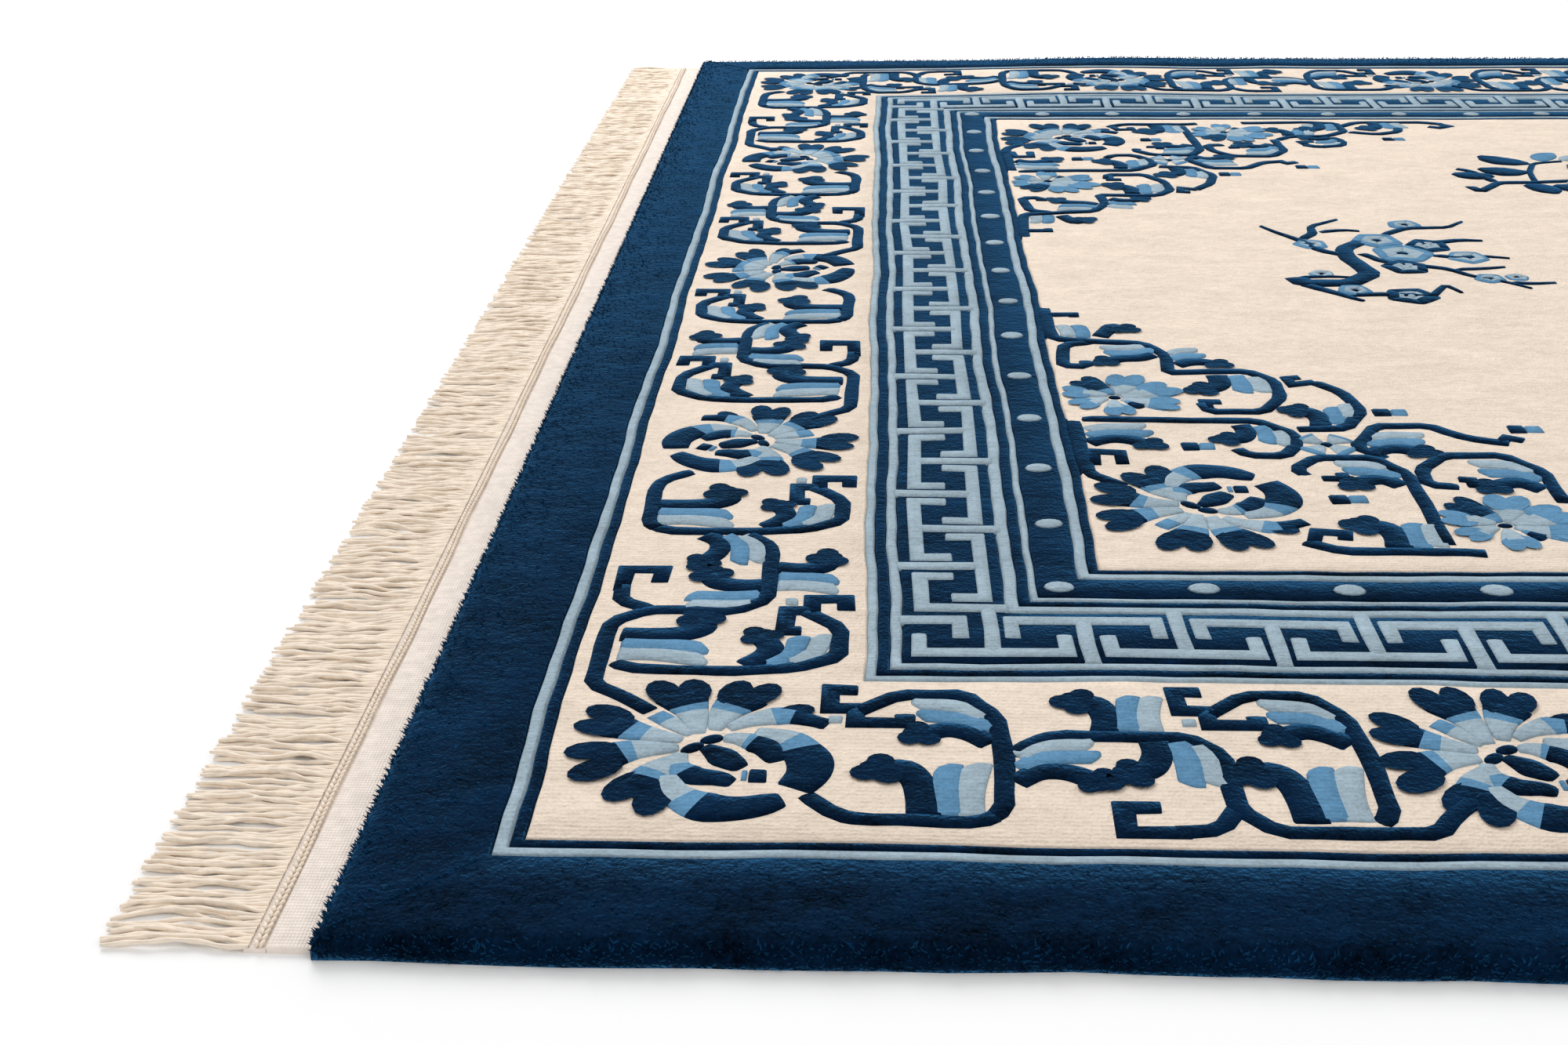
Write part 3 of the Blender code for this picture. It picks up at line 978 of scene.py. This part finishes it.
def copy_drawings(name, placed, materials):
    """One mesh of every (drawing, matrix) pair."""
    points, loops, starts, wools, rim_shades = [], [], [], [], []
    point_count = 0
    loop_count = 0
    for drawing, matrix in placed:
        flat = np.column_stack((drawing.points[:, :2], np.ones(len(drawing.points))))
        xy = flat @ matrix[:2].T
        z = drawing.points[:, 2] + PILE_HEIGHT / MM
        points.append(np.column_stack((xy, z)) * MM)
        mirrored = np.linalg.det(matrix) < 0
        corners = turn_faces(drawing.loops, drawing.starts) if mirrored else drawing.loops
        loops.append(corners + point_count)
        starts.append(drawing.starts + loop_count)
        wools.append(drawing.wools)
        rim_shades.append(drawing.rim_shade)
        point_count += len(drawing.points)
        loop_count += len(drawing.loops)
    mesh = bpy.data.meshes.new(name)
    fill_mesh(mesh, np.concatenate(points), np.concatenate(loops), np.concatenate(starts))
    mesh.polygons.foreach_set("material_index", np.concatenate(wools))
    mesh.polygons.foreach_set("use_smooth", np.ones(len(mesh.polygons), bool))
    # The painted edge shade, read by the wool's shader
    attribute = mesh.attributes.new("rim_shade", "FLOAT", "POINT")
    attribute.data.foreach_set("value", np.concatenate(rim_shades).astype(np.float32))
    mesh.update(calc_edges=True)
    lay_on_rug(mesh)
    return add_piece(name, mesh, [materials[wool] for wool in WOOLS])


def turn_faces(loops, starts):
    """Each face's corners in the other order, for a mirrored copy."""
    ends = np.append(starts[1:], len(loops))
    return np.concatenate([loops[start:end][::-1] for start, end in zip(starts, ends)])


def fill_mesh(mesh, points, loops, starts):
    mesh.vertices.add(len(points))
    mesh.vertices.foreach_set("co", points.astype(np.float32).ravel())
    mesh.loops.add(len(loops))
    mesh.loops.foreach_set("vertex_index", loops.astype(np.int32))
    mesh.polygons.add(len(starts))
    mesh.polygons.foreach_set("loop_start", starts.astype(np.int32))
    mesh.update(calc_edges=True)


def mesh_from(name, bm):
    mesh = bpy.data.meshes.new(name)
    bm.to_mesh(mesh)
    bm.free()
    return mesh


def add_piece(name, mesh, materials):
    for material in materials:
        mesh.materials.append(material)
    piece = bpy.data.objects.new(name, mesh)
    bpy.context.scene.collection.objects.link(piece)
    return piece


# Where the motifs go

HALF_X = PILE_LENGTH / 2 / MM
HALF_Y = PILE_WIDTH / 2 / MM
BORDER_START = 72.7
FLOWER_AWAY = 145.2
KEY_START = 236.0
PEARL_AWAY = 322.7
FIELD_START = 347.0
CELLS_X = 7
CELLS_Y = 4
KEYS_X = 23
KEYS_Y = 12
PEARLS_X = 28
PEARLS_Y = 14
VINE_LENGTH = 358.6
SIDE_VINE_SCALE = 1.011
FLOWER_SHIFT = 6.0
FLOWER_SQUEEZE = 0.92
SIDE_FLOWER_SCALE = 0.95
SIDE_FLOWER_TURN = 51.0
SIDE_FLOWER_TURNED_OVER = -24.0
CORNER_FLOWER = (67, 92)
HALF_FLOWERS = ((37, 271), (237, 62))
HALF_FLOWER_SCALE = 0.92
SPRAY_PLACE = (752, 10)
PEONY_PLACE = (490, 325)
PEONY_SCALE = 0.95


def four_sides(away):
    """Each side of the rectangle that lies this far in: its start, the way along, the way in, its length."""
    x = HALF_X - away
    y = HALF_Y - away
    return (
        ((-x, -y), (1, 0), (0, 1), 2 * x),
        ((x, y), (-1, 0), (0, -1), 2 * x),
        ((-x, -y), (0, 1), (1, 0), 2 * y),
        ((x, y), (0, -1), (-1, 0), 2 * y),
    )


def make_flower_border(materials):
    vine = Drawing(draw_vine)
    flower = Drawing(draw_flower)
    pieces = []
    for index, (start, along, inward, length) in enumerate(four_sides(FLOWER_AWAY)):
        is_long = along[0] != 0
        cells = CELLS_X if is_long else CELLS_Y
        step = length / cells
        placed = []
        for cell in range(cells):
            corner = np.array(start) + np.array(along) * step * cell
            # In the cells away from the corners the vine swings to the other side
            away = -1 if 0 < cell < cells - 1 else 1
            swing = np.array(inward) * away
            base = corner - swing * (FLOWER_AWAY - BORDER_START)
            if is_long:
                placed.append((vine, place_matrix(base, along, swing, step / VINE_LENGTH)))
                offset = FLOWER_SHIFT if cell else 0.0
                squeeze = FLOWER_SQUEEZE if cell else 1.0
                corner = corner + np.array(along) * offset
                placed.append((flower, place_matrix(corner, along, inward, squeeze)))
                continue
            # A short side's vine runs back from its far end, and every other flower is turned over
            back = (-along[0], -along[1])
            placed.append((vine, place_matrix(base + np.array(along) * step, back, swing, SIDE_VINE_SCALE)))
            if cell:
                turned_over = cell % 2 == 1
                turn = math.radians(SIDE_FLOWER_TURNED_OVER if turned_over else SIDE_FLOWER_TURN)
                ahead = np.array(inward) * math.cos(turn) + np.array(along) * math.sin(turn)
                aside = np.array(along) * math.cos(turn) - np.array(inward) * math.sin(turn)
                ahead = -ahead if turned_over else ahead
                placed.append((flower, place_matrix(
                    corner, ahead, aside, SIDE_FLOWER_SCALE, SIDE_FLOWER_SCALE)))
        pieces.append((f"flower_border_{index + 1}", placed))
    # The two corners where no side begins
    x = HALF_X - FLOWER_AWAY
    y = HALF_Y - FLOWER_AWAY
    pieces[0][1].append((flower, place_matrix((x, -y), (-1, 0), (0, 1))))
    pieces[1][1].append((flower, place_matrix((-x, y), (1, 0), (0, -1))))
    return [copy_drawings(name, placed, materials) for name, placed in pieces]


def make_key_border(materials):
    outer_key = Drawing(draw_outer_key)
    inner_key = Drawing(draw_inner_key)
    corner_key = Drawing(draw_key_corner)
    placed = []
    for start, along, inward, length in four_sides(KEY_START):
        is_long = along[0] != 0
        keys = KEYS_X if is_long else KEYS_Y
        lead = (KEY_LEAD_LONG if is_long else KEY_TOP) * KEY_ROW
        step = (length - 2 * lead) / keys
        scale = step / KEY_LENGTH
        for index in range(keys):
            corner = np.array(start) + np.array(along) * (lead + step * (index + 0.5))
            placed.append((outer_key, place_matrix(corner, along, inward, scale)))
        for index in range(0 if is_long else 1, keys + 1 if is_long else keys):
            corner = np.array(start) + np.array(along) * (lead + step * index)
            placed.append((inner_key, place_matrix(corner, along, inward, scale)))
    x = HALF_X - KEY_START
    y = HALF_Y - KEY_START
    for side_x in (-1, 1):
        for side_y in (-1, 1):
            placed.append((corner_key, place_matrix((side_x * x, side_y * y), (-side_x, 0), (0, -side_y))))
    return copy_drawings("key_border", placed, materials)


def make_pearl_border(materials):
    pearl = Drawing(draw_pearl)
    placed = []
    for start, along, inward, length in four_sides(PEARL_AWAY):
        count = PEARLS_X if along[0] else PEARLS_Y
        for index in range(0 if along[0] else 1, count):
            corner = np.array(start) + np.array(along) * length * index / count
            placed.append((pearl, place_matrix(corner, (1, 0), (0, 1))))
    x = HALF_X - PEARL_AWAY
    y = HALF_Y - PEARL_AWAY
    for corner in ((x, -y), (-x, y)):
        placed.append((pearl, place_matrix(corner, (1, 0), (0, 1))))
    return copy_drawings("pearl_border", placed, materials)


def make_field(materials):
    corner_piece = Drawing(draw_corner_piece)
    flower = Drawing(draw_flower)
    half_flower = Drawing(draw_half_flower)
    spray = Drawing(draw_spray)
    peony = Drawing(draw_peony)
    x = HALF_X - FIELD_START
    y = HALF_Y - FIELD_START
    corners = []
    for side_x in (-1, 1):
        for side_y in (-1, 1):
            corner = (side_x * x, side_y * y)
            in_x = (-side_x, 0)
            in_y = (0, -side_y)

            def inside(u, v):
                return (corner[0] - side_x * u, corner[1] - side_y * v)

            corners.append((corner_piece, place_matrix(corner, in_x, in_y)))
            corners.append((flower, place_matrix(inside(*CORNER_FLOWER), in_x, (0, side_y))))
            for u, v in HALF_FLOWERS:
                corners.append((half_flower, place_matrix(
                    inside(u, v), in_x, in_y, HALF_FLOWER_SCALE, HALF_FLOWER_SCALE)))
    sprays = []
    for turn in (-1, 1):
        place = (turn * SPRAY_PLACE[0], -turn * SPRAY_PLACE[1])
        sprays.append((spray, place_matrix(place, (-turn, 0), (0, -turn))))
        for side_y in (-1, 1):
            place = (turn * PEONY_PLACE[0], side_y * PEONY_PLACE[1])
            sprays.append((peony, place_matrix(place, (-turn, 0), (0, side_y), PEONY_SCALE, PEONY_SCALE)))
    return [
        copy_drawings("field_corners", corners, materials),
        copy_drawings("field_sprays", sprays, materials),
    ]


# The pile's body

def is_along_a_side(edge):
    run = edge.verts[1].co - edge.verts[0].co
    return max(abs(run.x), abs(run.y)) > 0.5 and min(abs(run.x), abs(run.y)) < 1e-6


def make_pile(materials):
    bm = bmesh.new()
    foot = Matrix.Translation((0.0, 0.0, EDGE_FOOT_HEIGHT / 2))
    foot = foot @ Matrix.Diagonal((PILE_LENGTH, PILE_WIDTH, EDGE_FOOT_HEIGHT, 1.0))
    bmesh.ops.create_cube(bm, size=1.0, matrix=foot)
    bm.normal_update()
    top = max(bm.faces, key=lambda face: face.normal.z)

    def step_in(inset, rise, wool):
        made = bmesh.ops.inset_region(bm, faces=[top], thickness=inset, depth=rise, use_even_offset=True)
        for face in made["faces"]:
            face.material_index = WOOLS.index(wool)

    level = EDGE_FOOT_HEIGHT
    reached = 0.0
    for inset, rise in EDGE_STEPS:
        step_in(inset, rise, "navy")
        level += rise
        reached += inset
    band_end = 0.0
    half_groove = GROOVE_WIDTH / 2
    for (wool, width, crown), (next_wool, _, next_crown) in zip(BANDS, BANDS[1:]):
        band_end += width
        crown_level = PILE_HEIGHT + crown
        floor_level = PILE_HEIGHT - GROOVE_DEPTH
        next_level = PILE_HEIGHT + next_crown
        shoulder = half_groove * 0.45
        flat = band_end - half_groove - reached
        # Wide bands have several rings, so that they follow the swells as the motifs do
        rings = max(1, round(flat / RING_WIDTH))
        for _ in range(rings):
            step_in(flat / rings, (crown_level - level) / rings, wool)
        step_in(shoulder, -SHOULDER_DROP, wool)
        step_in(half_groove - shoulder, floor_level - crown_level + SHOULDER_DROP, wool)
        step_in(half_groove - shoulder, next_level - floor_level - SHOULDER_DROP, next_wool)
        step_in(shoulder, SHOULDER_DROP, next_wool)
        level = next_level
        reached = band_end + half_groove
    top.material_index = WOOLS.index("ivory")
    edges = [edge for edge in bm.edges if is_along_a_side(edge)]
    bmesh.ops.subdivide_edges(bm, edges=edges, cuts=SIDE_CUTS, use_grid_fill=True)
    for face in bm.faces:
        face.smooth = True
    mesh = mesh_from("pile", bm)
    lay_on_rug(mesh)
    return add_piece("pile", mesh, [materials[wool] for wool in WOOLS])


def make_tufts(name, material, seed, per_metre, row, longest):
    """Short wool ends all round the pile: row takes a dice and a count to insets, heights and leans."""
    template = bmesh.new()
    bmesh.ops.create_cone(
        template, segments=3, radius1=TUFT_ROOT, radius2=TUFT_TIP, depth=1.0, cap_ends=False)
    shape, loops, starts = take_arrays(template)
    shape[:, 2] += 0.5
    dice = np.random.default_rng(seed)
    points = []
    for start, along, inward, length in four_sides(0.0):
        count = int(length * MM * per_metre)
        share = (np.arange(count) + dice.random(count)) / count
        inset, height, lean = row(dice, count)
        run = np.clip(share * length, inset, length - inset)
        lean = lean + dice.normal(0.0, 0.25, count)
        sideways = dice.normal(0.0, 0.5, count)
        roots = np.array(start)[None] + np.array(along)[None] * run[:, None]
        roots = roots + np.array(inward)[None] * inset[:, None]
        axis = np.column_stack((
            -inward[0] * lean + along[0] * sideways,
            -inward[1] * lean + along[1] * sideways,
            0.25 + 0.06 * height,
        ))
        axis /= np.linalg.norm(axis, axis=1)[:, None]
        reach = dice.uniform(longest * 0.4, longest, count)
        cross = np.cross(axis, (0.0, 0.0, 1.0))
        cross /= np.linalg.norm(cross, axis=1)[:, None]
        third = np.cross(axis, cross)
        made = (
            shape[None, :, 0:1] * cross[:, None]
            + shape[None, :, 1:2] * third[:, None]
            + shape[None, :, 2:3] * (axis * reach[:, None])[:, None]
        )
        made = made + np.column_stack((roots, height))[:, None]
        made[:, :, 2] = np.maximum(made[:, :, 2], 0.15)
        points.append(made * MM)
    mesh = bpy.data.meshes.new(name)
    fill_copies(mesh, np.concatenate(points), loops, starts)
    lay_on_rug(mesh)
    return add_piece(name, mesh, [material])


def edge_row(dice, count):
    """On the rounded edge, a little inside it."""
    height = dice.uniform(0.8, 10.0, count)
    inset = 0.75 + 3.6 * np.clip((height - 4.5) / 6.0, 0.0, 1.0) ** 2
    lean = np.clip(1.15 - height / 11.0, 0.25, 1.0)
    return inset, height, lean


def band_row(dice, count):
    """Over the outer band, thicker towards the edge."""
    share = dice.uniform(0.0, 1.0, count) ** 1.4
    inset = 6.0 + 50.0 * share
    height = np.full(count, (PILE_HEIGHT + BANDS[0][2]) / MM - 0.45)
    return inset, height, np.full(count, 0.9)


def take_arrays(bm):
    mesh = mesh_from("template", bm)
    shape = read(mesh.vertices, "co", 3).astype(float)
    loops = read(mesh.loops, "vertex_index", 1, np.int32).ravel()
    starts = read(mesh.polygons, "loop_start", 1, np.int32).ravel()
    bpy.data.meshes.remove(mesh)
    return shape, loops, starts


def fill_copies(mesh, points, loops, starts):
    """Fills a mesh with copies of one template: points has a row of places for each copy."""
    copies, size = points.shape[:2]
    offsets = np.arange(copies)[:, None]
    fill_mesh(
        mesh,
        points.reshape(-1, 3),
        (loops[None] + offsets * size).ravel(),
        (starts[None] + offsets * len(loops)).ravel(),
    )
    mesh.polygons.foreach_set("use_smooth", np.ones(len(mesh.polygons), bool))


# Kilim bands, twined lines and fringe

def make_kilim(word, side, material):
    bm = bmesh.new()
    near = PILE_LENGTH / 2 + SEAM_GAP * 0.2
    size = (KILIM_WIDTH + SEAM_GAP, END_WIDTH, KILIM_HEIGHT)
    place = Matrix.Translation((side * (near + size[0] / 2), 0.0, KILIM_HEIGHT / 2))
    bmesh.ops.create_cube(bm, size=1.0, matrix=place @ Matrix.Diagonal((*size, 1.0)))
    long_edges = [edge for edge in bm.edges if abs(edge.verts[0].co.y - edge.verts[1].co.y) > 0.5]
    bmesh.ops.subdivide_edges(bm, edges=long_edges, cuts=150, use_grid_fill=True)
    short_edges = [edge for edge in bm.edges if abs(edge.verts[0].co.x - edge.verts[1].co.x) > 0.015]
    bmesh.ops.subdivide_edges(bm, edges=short_edges, cuts=4, use_grid_fill=True)
    for vertex in bm.verts:
        x, y, z = vertex.co
        if z > KILIM_HEIGHT * 0.9:
            vertex.co.z -= KILIM_DIP * (1 + math.sin(47.0 * y + 2.0 * math.sin(19.0 * y)))
    name = f"kilim_band_{word}"
    return add_piece(name, mesh_from(name, bm), [material])


def make_twining(word, side, material):
    """Two rows of slanting stitches."""
    template = bmesh.new()
    bmesh.ops.create_uvsphere(template, u_segments=6, v_segments=4, radius=1.0)
    shape, loops, starts = take_arrays(template)
    count = STITCHES
    points = []
    for away, slant in STITCH_ROWS:
        y = -END_WIDTH / 2 + (np.arange(count) + 0.5) * END_WIDTH / count
        x = HEADING_START + away + 0.5 * MM * np.sin(y * 23.0) + 0.3 * MM * np.sin(y * 61.0)
        local = shape * np.array((0.95, 2.3, 0.95))[None]
        turned_x = local[:, 0] + slant * local[:, 1] * 0.45
        made = np.stack((
            np.broadcast_to(turned_x, (count, len(shape))),
            np.broadcast_to(local[:, 1], (count, len(shape))),
            np.broadcast_to(local[:, 2], (count, len(shape))),
        ), axis=2) * MM
        made = made + np.column_stack((x, y, np.full(count, STITCH_HEIGHT)))[:, None]
        points.append(made)
    joined = np.concatenate(points)
    joined[:, :, 0] *= side
    if side < 0:
        loops = turn_faces(loops, starts)
    mesh = bpy.data.meshes.new(f"twined_line_{word}")
    fill_copies(mesh, joined, loops, starts)
    return add_piece(f"twined_line_{word}", mesh, [material])


def make_heading(word, side, material):
    bm = bmesh.new()
    size = (HEADING_WIDTH, END_WIDTH, HEADING_HEIGHT)
    place = Matrix.Translation((side * (HEADING_START + size[0] / 2), 0.0, HEADING_HEIGHT / 2))
    bmesh.ops.create_cube(bm, size=1.0, matrix=place @ Matrix.Diagonal((*size, 1.0)))
    name = f"heading_{word}"
    return add_piece(name, mesh_from(name, bm), [material])


def make_strands(word, side, material):
    """Plied warp ends: they leave the heading side by side, then sway, bunch and cross on the floor."""
    template = bmesh.new()
    bmesh.ops.create_grid(template, x_segments=STRAND_STEPS, y_segments=STRAND_SIDES, size=0.5)
    shape, loops, starts = take_arrays(template)
    share = (shape[:, 0] + 0.5)[None]
    around = (shape[:, 1] + 0.5)[None] * math.tau
    dice = np.random.default_rng(21 if side > 0 else 22)
    count = STRANDS_PER_END
    home = (-END_WIDTH / 2 + (np.arange(count) + 0.5) * END_WIDTH / count)[:, None]
    # Neighbours lean together in uneven bunches
    bunch_edges = np.cumsum(dice.integers(3, 9, count))
    bunch = np.searchsorted(bunch_edges, np.arange(count), side="right")
    bunches = bunch.max() + 1
    bunch_lean = dice.normal(0.0, BUNCH_LEAN, bunches)[bunch][:, None]
    bunch_curl = dice.normal(0.0, BUNCH_CURL, bunches)[bunch][:, None]
    bunch_phase = dice.uniform(0.0, math.tau, bunches)[bunch][:, None]
    own_lean = dice.normal(0.0, OWN_LEAN, (count, 1))
    phase = dice.uniform(0.0, math.tau, (count, 1))
    reach = STRAND_LENGTH * (1.0 - np.abs(dice.normal(0.0, 0.05, (count, 1))))
    start = HEADING_START + HEADING_WIDTH - STRAND_HELD
    x = start + share * (reach + STRAND_HELD)
    free = np.clip((share * (reach + STRAND_HELD) - STRAND_HELD) / reach, 0.0, 1.0)
    middle_y = home + np.sin(home * 15.0 + 0.6) * 1.8 * MM * free
    middle_y = middle_y + (bunch_lean + own_lean) * free**1.3
    middle_y = middle_y + bunch_curl * (np.sin(free * 6.0 + bunch_phase) - np.sin(bunch_phase))
    for waves, sway in STRAND_WAVES:
        amount = dice.normal(0.0, sway, (count, 1))
        middle_y = middle_y + amount * (np.sin(free * waves + phase * waves) - np.sin(phase * waves))
    edge = END_WIDTH / 2 + FRINGE_SPREAD
    middle_y = np.clip(middle_y, -edge, edge)
    radius = STRAND_RADIUS * dice.uniform(0.86, 1.12, (count, 1))
    thin = radius * (1.0 - 0.35 * np.clip((share - 0.93) / 0.07, 0.0, 1.0))
    twist = share * STRAND_TWISTS * math.tau + phase
    ply = 1.0 + 0.26 * np.cos(2 * (around - twist))
    # About half of the strands lie over the others, and none lies over the rest all the way
    over = dice.choice((0.0, 1.0), (count, 1), p=(0.55, 0.45)) * dice.uniform(0.7, 1.5, (count, 1))
    ripple = 0.5 + 0.5 * np.sin(free * dice.uniform(3.0, 9.0, (count, 1)) + phase)
    middle_z = radius * 1.15 + (1.0 * MM - radius * 0.15) * np.clip(1.0 - free * 5.0, 0.0, 1.0)
    middle_z = middle_z + over * STRAND_LIFT * ripple * np.clip(free * 6.0, 0.0, 1.0)
    y = middle_y + thin * ply * np.cos(around)
    z = middle_z + thin * ply * np.sin(around)
    z = np.maximum(z, 0.05 * MM)
    points = np.stack((side * np.broadcast_to(x, y.shape), y, z), axis=2)
    if side < 0:
        loops = turn_faces(loops, starts)
    mesh = bpy.data.meshes.new(f"fringe_strands_{word}")
    fill_copies(mesh, points, loops, starts)
    return add_piece(f"fringe_strands_{word}", mesh, [material])


# Studio

def add_area_light(name, place, size, power, target):
    data = bpy.data.lights.new(name, "AREA")
    data.shape = "RECTANGLE"
    data.size = size
    data.size_y = size
    data.energy = power
    light = bpy.data.objects.new(name, data)
    light.location = place
    aim = Vector(target) - Vector(place)
    light.rotation_euler = aim.to_track_quat("-Z", "Y").to_euler()
    bpy.context.scene.collection.objects.link(light)


def make_studio():
    bm = bmesh.new()
    bmesh.ops.create_grid(bm, x_segments=1, y_segments=1, size=30.0)
    mesh = mesh_from("floor", bm)
    paint = bpy.data.materials.new("studio_floor")
    paint.use_nodes = True
    shader = paint.node_tree.nodes["Principled BSDF"]
    shader.inputs["Base Color"].default_value = FLOOR_COLOUR
    shader.inputs["Roughness"].default_value = FLOOR_ROUGHNESS
    shader.inputs["Specular IOR Level"].default_value = FLOOR_SPECULAR
    floor = add_piece("floor", mesh, [paint])

    world = bpy.data.worlds.new("studio")
    world.use_nodes = True
    background = world.node_tree.nodes["Background"]
    background.inputs["Color"].default_value = WORLD_COLOUR
    background.inputs["Strength"].default_value = WORLD_STRENGTH
    bpy.context.scene.world = world
    bpy.context.scene.view_settings.view_transform = "Standard"
    for name, place, size, power, target in LIGHTS:
        add_area_light(name, place, size, power, target)

    pitch = math.radians(CAMERA_PITCH)
    yaw = math.radians(CAMERA_YAW)
    roll = math.radians(CAMERA_ROLL)
    forward = Vector((math.sin(yaw) * math.cos(pitch), math.cos(yaw) * math.cos(pitch), -math.sin(pitch)))
    side = Vector((math.cos(yaw), -math.sin(yaw), 0.0))
    up = side.cross(forward)
    right = math.cos(roll) * side + math.sin(roll) * up
    upright = -math.sin(roll) * side + math.cos(roll) * up
    data = bpy.data.cameras.new("camera")
    data.lens = CAMERA_LENS
    data.sensor_width = CAMERA_SENSOR
    data.clip_start = CAMERA_NEAREST
    camera = bpy.data.objects.new("camera", data)
    turn = Matrix((right, upright, -forward)).transposed().to_4x4()
    camera.matrix_world = Matrix.Translation(CAMERA_PLACE) @ turn
    bpy.context.scene.collection.objects.link(camera)
    bpy.context.scene.camera = camera


def main():
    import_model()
    wool = make_wool_group()
    cotton = make_cotton_group()
    wools = {}
    for name, (colour, mottle, ribs, sheen) in WOOL_LOOKS.items():
        wools[name] = make_cloth_material(
            f"wool_{name}", wool, colour, {"Mottle": mottle, "Ribs": ribs}, sheen)
    band_cotton = make_cloth_material("cotton_woven", cotton, COTTON, {"Weave": 1.0}, 0.1)
    strand_cotton = make_cloth_material("cotton_plied", cotton, STRAND_COTTON, {"Weave": 0.0}, 0.05)

    pile = make_pile(wools)
    motifs = make_flower_border(wools)
    motifs.append(make_key_border(wools))
    motifs.append(make_pearl_border(wools))
    motifs += make_field(wools)
    # The tufts get the lighter navy, a painted highlight of lit fibre tips
    tips = make_cloth_material("wool_navy_lit_tips", wool, LIT_TIP_COLOUR, {"Mottle": 0.5, "Ribs": 0.0}, 0.08)
    motifs.append(make_tufts("edge_tufts", tips, 11, EDGE_TUFTS, edge_row, EDGE_TUFT_LENGTH))
    motifs.append(make_tufts("band_tufts", tips, 12, BAND_TUFTS, band_row, BAND_TUFT_LENGTH))
    for piece in motifs:
        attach(piece, "root")
    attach(pile, "root")
    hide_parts("pile_body")

    ends = []
    for word, side in (("left", -1), ("right", 1)):
        band = make_kilim(word, side, band_cotton)
        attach(band, "root")
        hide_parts(f"kilim_{word}")
        heading = make_heading(word, side, band_cotton)
        strands = make_strands(word, side, strand_cotton)
        twining = make_twining(word, side, strand_cotton)
        for piece in (heading, strands, twining):
            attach(piece, "root")
        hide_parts(f"fringe_{word}")
        ends += [band, heading, strands, twining]

    make_studio()


main()
